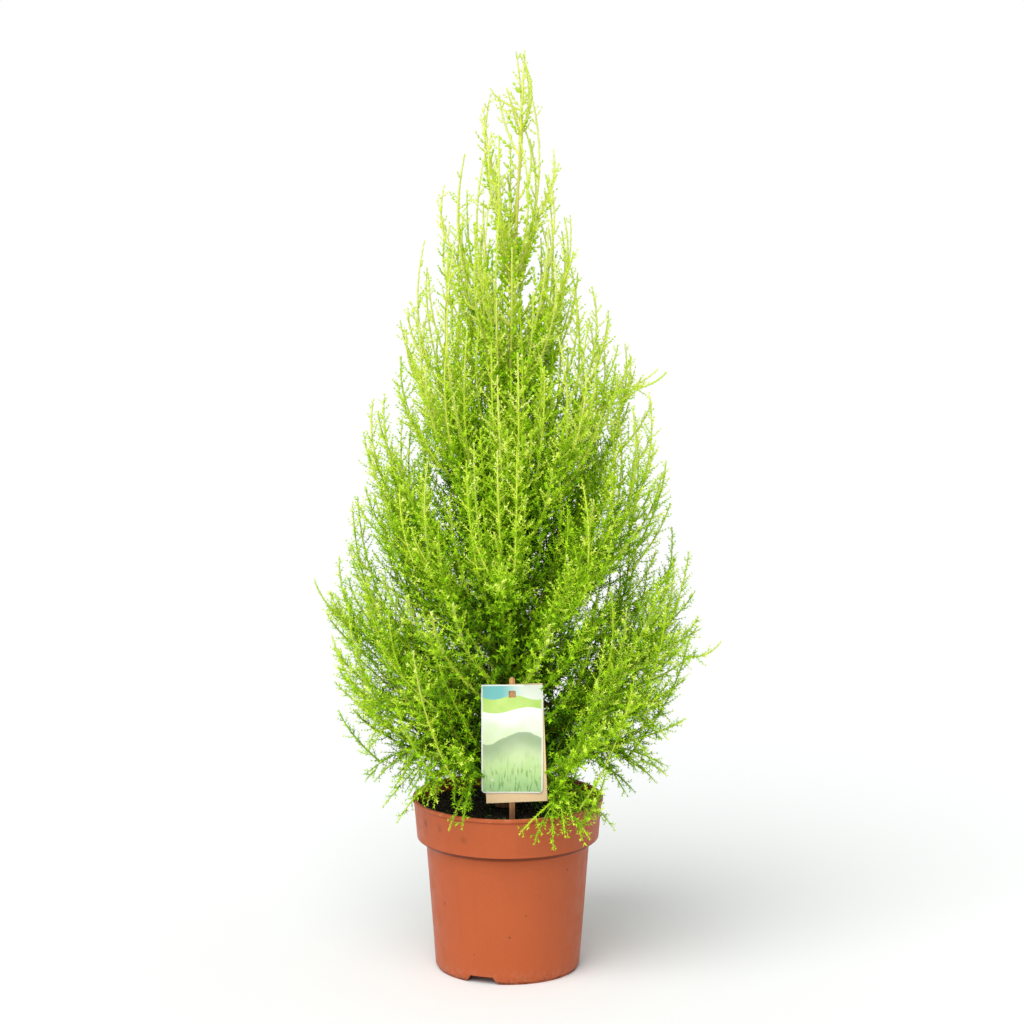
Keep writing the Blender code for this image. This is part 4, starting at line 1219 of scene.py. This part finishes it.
def marked(radius, height, turn):
    """Radii of the pot with a slightly uneven wall, a faint crease in the collar and a nick in the bead."""
    turn = (turn + math.pi) % math.tau - math.pi
    swing = sum(size * np.sin(waves * turn + start) for size, waves, start in WALL_SWINGS)
    grown = np.where(height > COLLAR_BOTTOM, swing, swing * 0.5) * (height > SWING_FROM)
    crease = np.exp(-((turn - CREASE_AZIMUTH) / CREASE_HALF_WIDTH) ** 2)
    outside = radius > COLLAR_BOTTOM_RADIUS - 0.5 * WALL
    on_crease = outside & (height > CREASE_HEIGHTS[0]) & (height < CREASE_HEIGHTS[1])
    nick = np.exp(-((turn - NICK_AZIMUTH) / NICK_HALF_WIDTH) ** 2)
    on_bead = radius > RIM_RADIUS - BEAD_DEPTH * 0.9
    return radius + (grown - CREASE_DEPTH * crease * on_crease - NICK_DEPTH * nick * on_bead)


def turned_pot(profile):
    """Points of the profile spun round +Z, and faces with a small one at each end of the profile."""
    profile = np.array(profile)
    turn = np.broadcast_to(np.arange(POT_SIDES) * (math.tau / POT_SIDES), (len(profile), POT_SIDES))
    height = np.repeat(profile[:, 1:], POT_SIDES, axis=1)
    radius = marked(np.repeat(profile[:, :1], POT_SIDES, axis=1), height, turn)
    points = np.stack([radius * np.cos(turn), radius * np.sin(turn), height], axis=-1)
    faces = quads_round(len(profile), POT_SIDES, turned=True)[:, ::-1].tolist()
    last = (len(profile) - 1) * POT_SIDES
    faces += [list(range(POT_SIDES)), list(range(last + POT_SIDES - 1, last - 1, -1))]
    return points.reshape(-1, 3).tolist(), faces


def notch_cutter(index, look):
    """Cutter for one drain notch: a trapezoid arch through the foot ring."""
    outward = Vector(outwards(NOTCH_FIRST_AZIMUTH + math.tau * index / NOTCH_COUNT))
    across = Vector((-outward.y, outward.x, 0.0))
    foot = NOTCH_FOOT_WIDTH / 2
    top = NOTCH_TOP_WIDTH / 2
    section = ((-foot, -NOTCH_OVERSHOOT), (foot, -NOTCH_OVERSHOOT), (top, NOTCH_HEIGHT), (-top, NOTCH_HEIGHT))
    points = []
    for distance in (BODY_FOOT_RADIUS - NOTCH_DEPTH, BODY_FOOT_RADIUS + NOTCH_OVERSHOOT):
        for width, height in section:
            points.append(outward * distance + across * width + Vector((0.0, 0.0, height)))
    faces = [(0, 3, 2, 1), (4, 5, 6, 7), (0, 1, 5, 4), (1, 2, 6, 5), (2, 3, 7, 6), (3, 0, 4, 7)]
    return add_piece(f"notch_{index}", points, faces, look)


def cut(piece, cutters):
    """Cuts pieces out of one and removes the cutters."""
    for cutter in cutters:
        change = piece.modifiers.new("cut", "BOOLEAN")
        change.operation = "DIFFERENCE"
        change.object = cutter
        change.solver = "EXACT"
    apply_changes(piece)
    for cutter in cutters:
        bpy.data.objects.remove(cutter, do_unlink=True)


def build_pot():
    look = pot_look()
    pot = add_piece("pot_shell", *turned_pot(pot_profile()), look)
    cut(pot, [notch_cutter(index, look) for index in range(NOTCH_COUNT)])
    pot.data.shade_smooth()
    pot.data.set_sharp_from_angle(angle=SHARP_ANGLE)
    dress(pot, "pot", ["pot"])


# ---- Compost


def soil_radius():
    """Radius of the inside of the pot at the edge of the compost."""
    low = (COLLAR_BOTTOM_RADIUS - WALL, COLLAR_BOTTOM + 0.2 * WALL)
    high = (RIM_RADIUS - BEAD_DEPTH - WALL, POT_HEIGHT - BEAD_HEIGHT)
    share = (SOIL_TOP - low[1]) / (high[1] - low[1])
    return low[0] + share * (high[0] - low[0]) - GAP


def soil_height(x, y):
    """Lumpy top of the compost, settled at the wall."""
    spread = math.hypot(x, y) / soil_radius()
    lumps = 0.0
    for level, (height, scale) in enumerate(SOIL_LUMPS):
        lumps += height * noise.noise(Vector((x, y, level)) * scale)
    settled = min(1.0, (1.0 - spread) * SOIL_SETTLING)
    return SOIL_TOP - SOIL_EDGE_DROP * (1.0 - settled) + lumps * settled


def build_soil():
    edge = soil_radius()
    points = []
    for ring in range(SOIL_RINGS + 1):
        for x, y in circle(edge * max(ring / SOIL_RINGS, SOIL_MIDDLE), SOIL_SIDES):
            points.append((x, y, soil_height(x, y)))
    for radius, depth in ((edge - 0.0022, 0.012), (edge * 0.6, 0.014), (edge * SOIL_MIDDLE, 0.014)):
        points += [(x, y, SOIL_TOP - depth) for x, y in circle(radius, SOIL_SIDES)]
    faces = quads_round(len(points) // SOIL_SIDES, SOIL_SIDES, turned=True)
    look = soil_look("compost", (16, 13, 8), (42, 34, 22))
    add_piece("compost", points, faces, look, "soil", ["soil"], smooth=True)
    build_crumbs(edge)


def build_crumbs(edge):
    """Loose crumbs and flecks of moss on the compost."""
    dice = random.Random(SEED + 77)
    corners = icosahedron_corners()
    triangles = icosahedron_faces(corners)
    for name, dark, light, count, sizes in CRUMBS:
        points, faces = [], []
        for _ in range(count):
            radius = edge * math.sqrt(dice.random()) * CRUMB_SPREAD
            angle = dice.uniform(0.0, math.tau)
            size = dice.uniform(*sizes)
            x, y = radius * math.cos(angle), radius * math.sin(angle)
            by_stem = math.hypot(x - TRUNK_FOOT[0], y - TRUNK_FOOT[1]) < STEM_CLEARANCE
            by_stick = max(abs(x - LABEL_FOOT.x), abs(y - LABEL_FOOT.y)) < STICK_CLEARANCE
            if by_stem or by_stick or radius + size > edge - GAP:
                continue
            centre = Vector((x, y, soil_height(x, y) + size * CRUMB_RISE))
            spin = Matrix.Rotation(dice.uniform(0.0, math.tau), 3, "Z")
            faces += [[len(points) + corner for corner in face] for face in triangles]
            for corner in corners:
                wide, deep = dice.uniform(*CRUMB_WIDTH), dice.uniform(*CRUMB_DEPTH)
                shape = Vector((corner.x * wide, corner.y * deep, corner.z * CRUMB_HEIGHT))
                points.append(centre + spin @ shape * size)
        add_piece(name, points, faces, soil_look(name, dark, light), "soil")


def icosahedron_corners():
    golden = (1.0 + math.sqrt(5.0)) / 2.0
    corners = []
    for first, second in itertools.product((-1.0, 1.0), (-golden, golden)):
        corners += [(0.0, first, second), (first, second, 0.0), (second, 0.0, first)]
    return [Vector(corner).normalized() for corner in corners]


def icosahedron_faces(corners):
    """Triples of corners that are each other's neighbours, wound outwards."""
    faces = []
    for triple in itertools.combinations(range(len(corners)), 3):
        a, b, c = (corners[corner] for corner in triple)
        if max((a - b).length, (a - c).length, (b - c).length) > CRUMB_NEIGHBOUR:
            continue
        faces.append(triple if (b - a).cross(c - a).dot(a) > 0 else (triple[0], triple[2], triple[1]))
    return faces


# ---- Cards and stick


def card_grid(height, corner):
    """Front face of a card as a grid with its slot left open: points (x, y) and quads."""
    half = CARD_WIDTH / 2
    bottom = CARD_TOP - height
    slot_top = CARD_TOP - SLOT_BELOW_TOP
    slot_bottom = slot_top - SLOT_HEIGHT
    columns = {*np.round(np.linspace(-half, half, CARD_GRID[0]), 6), -SLOT_WIDTH / 2, SLOT_WIDTH / 2}
    rows = {*np.round(np.linspace(bottom, CARD_TOP, CARD_GRID[1]), 6), slot_bottom, slot_top}
    if corner:
        columns.update(sign * (half - corner * share) for sign in (-1, 1) for share in CORNER_ROWS)
        rows.update(bottom + corner * share for share in CORNER_ROWS)
    columns, rows = sorted(columns), sorted(rows)
    points = [rounded(x, y, half, bottom, corner) for y in rows for x in columns]
    faces = []
    wide = len(columns)
    for row, column in itertools.product(range(len(rows) - 1), range(wide - 1)):
        x = 0.5 * (columns[column] + columns[column + 1])
        y = 0.5 * (rows[row] + rows[row + 1])
        if abs(x) < SLOT_WIDTH / 2 and slot_bottom < y < slot_top:
            continue
        first = row * wide + column
        faces.append((first, first + 1, first + wide + 1, first + wide))
    return points, faces


def rounded(x, y, half, bottom, corner):
    """Pulls a point of the two lower corners in to their curve."""
    across = abs(x) - (half - corner)
    down = (bottom + corner) - y
    if not corner or across <= 0.0 or down <= 0.0:
        return x, y
    far = math.hypot(across, down)
    reach = max(across, down)
    return math.copysign(half - corner + across * reach / far, x), bottom + corner - down * reach / far


def build_card(name, height, corner, turn, back, bow, look, slot):
    """A card with a slot, its thickness and a slight bow, hung from the stick."""
    flat, faces = card_grid(height, corner)
    pivot = Vector((0.0, CARD_TOP - SLOT_BELOW_TOP))
    spin = Matrix.Rotation(turn, 2)
    points = []
    for x, y in flat:
        turned = spin @ (Vector((x, y)) - pivot) + pivot
        share = x / (CARD_WIDTH / 2)
        down = (CARD_TOP - y) / height
        depth = back + bow * (share * share) * (BOW_AT_TOP + (1.0 - BOW_AT_TOP) * down)
        points.append((turned.x, turned.y, depth))
    card = add_piece(f"{name}_sheet", points, faces, look)
    change = card.modifiers.new("thickness", "SOLIDIFY")
    change.thickness = CARD_THICKNESS
    change.offset = 1.0
    apply_changes(card)
    card.matrix_world = label_frame()
    dress(card, slot, [name])


def stick_outline():
    half = STICK_WIDTH / 2
    outline = []
    for step in range(STICK_ARC + 1):
        angle = math.pi * step / STICK_ARC
        outline.append((half * math.cos(angle), STICK_TOP - half + half * math.sin(angle)))
    length = STICK_TOP - half + STICK_DEPTH
    outline += [(-half, STICK_TOP - half - length * step / STICK_ROWS) for step in range(1, STICK_ROWS + 1)]
    outline += [(half, -STICK_DEPTH + length * step / STICK_ROWS) for step in range(STICK_ROWS)]
    return outline


def build_stick():
    """A flat wooden stick with a rounded top and softened edges."""
    outline = stick_outline()
    slim = 1.0 - STICK_EDGE / (STICK_WIDTH / 2)
    layers = ((slim, -STICK_THICKNESS), (1.0, -STICK_THICKNESS + STICK_EDGE), (1.0, -STICK_EDGE), (slim, 0.0))
    points = [(x * size, y, depth) for size, depth in layers for x, y in outline]
    count = len(outline)
    faces = quads_round(len(layers), count).tolist()
    faces += [list(range(count - 1, -1, -1)), list(range(len(points) - count, len(points)))]
    stick = add_piece("label_stick_wood", points, faces, wood_look())
    stick.matrix_world = label_frame()
    dress(stick, "stick", ["label_stick"])


def build_label():
    build_stick()
    build_card("label_card_back", BACK_CARD_HEIGHT, 0.0, BACK_CARD_TURN, GAP, 0.0, kraft_look(), "kraft_card")
    near = GAP + CARD_THICKNESS + GAP
    look = print_look()
    build_card("label_card_front", CARD_HEIGHT, CARD_CORNER, 0.0, near, CARD_BOW, look, "printed_card")


# ---- Room, light and camera


def build_floor():
    look = plain_look("studio_floor", FLOOR_COLOUR, 0.75, 0.2)
    floor = add_piece("floor", FLOOR_CORNERS, [(0, 1, 2, 3)], look)
    floor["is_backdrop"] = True


def add_lamp(name, strength, size, direction):
    """A wide, soft light that shines in a direction."""
    lamp = bpy.data.lights.new(name, "SUN")
    lamp.energy = strength
    lamp.angle = size
    holder = add_object(name, lamp)
    holder.rotation_euler = Vector(direction).to_track_quat("-Z", "Y").to_euler()


def build_light():
    """A white room: even light from all round, a soft key and a wide fill from the front left."""
    world = bpy.data.worlds.new("studio")
    world.use_nodes = True
    nodes, links = world.node_tree.nodes, world.node_tree.links
    room = nodes["Background"]
    backdrop = nodes.new("ShaderNodeBackground")
    for source in (room, backdrop):
        source.inputs["Color"].default_value = (1.0, 1.0, 1.0, 1.0)
    room.inputs["Strength"].default_value = ROOM_LIGHT
    seen = nodes.new("ShaderNodeLightPath")
    choice = nodes.new("ShaderNodeMixShader")
    links.new(seen.outputs["Is Camera Ray"], choice.inputs[0])
    links.new(room.outputs[0], choice.inputs[1])
    links.new(backdrop.outputs[0], choice.inputs[2])
    links.new(choice.outputs[0], nodes["World Output"].inputs["Surface"])
    bpy.context.scene.world = world
    for lamp in LAMPS:
        add_lamp(*lamp)
    bpy.context.scene.view_settings.view_transform = "Standard"


def build_camera():
    camera = add_object("camera", bpy.data.cameras.new("camera"))
    camera.data.lens = CAMERA_LENS
    camera.data.sensor_width = SENSOR_WIDTH
    camera.location = CAMERA_PLACE
    camera.rotation_euler = (math.radians(90.0) - CAMERA_DIP, 0.0, 0.0)
    bpy.context.scene.camera = camera


def build_tree():
    plumes = all_plumes()
    kinds = grow_tree(plumes)
    build_trunk()
    build_boughs(plumes)
    build_twigs(kinds)
    build_needles(kinds)


def write_sizes():
    boxes = {"cad": cad_box, "visual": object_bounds()}
    {name: [list(corner) for corner in box] for name, box in boxes.items()}


build_pot()
build_soil()
build_label()
build_tree()
build_floor()
build_light()
build_camera()
write_sizes()
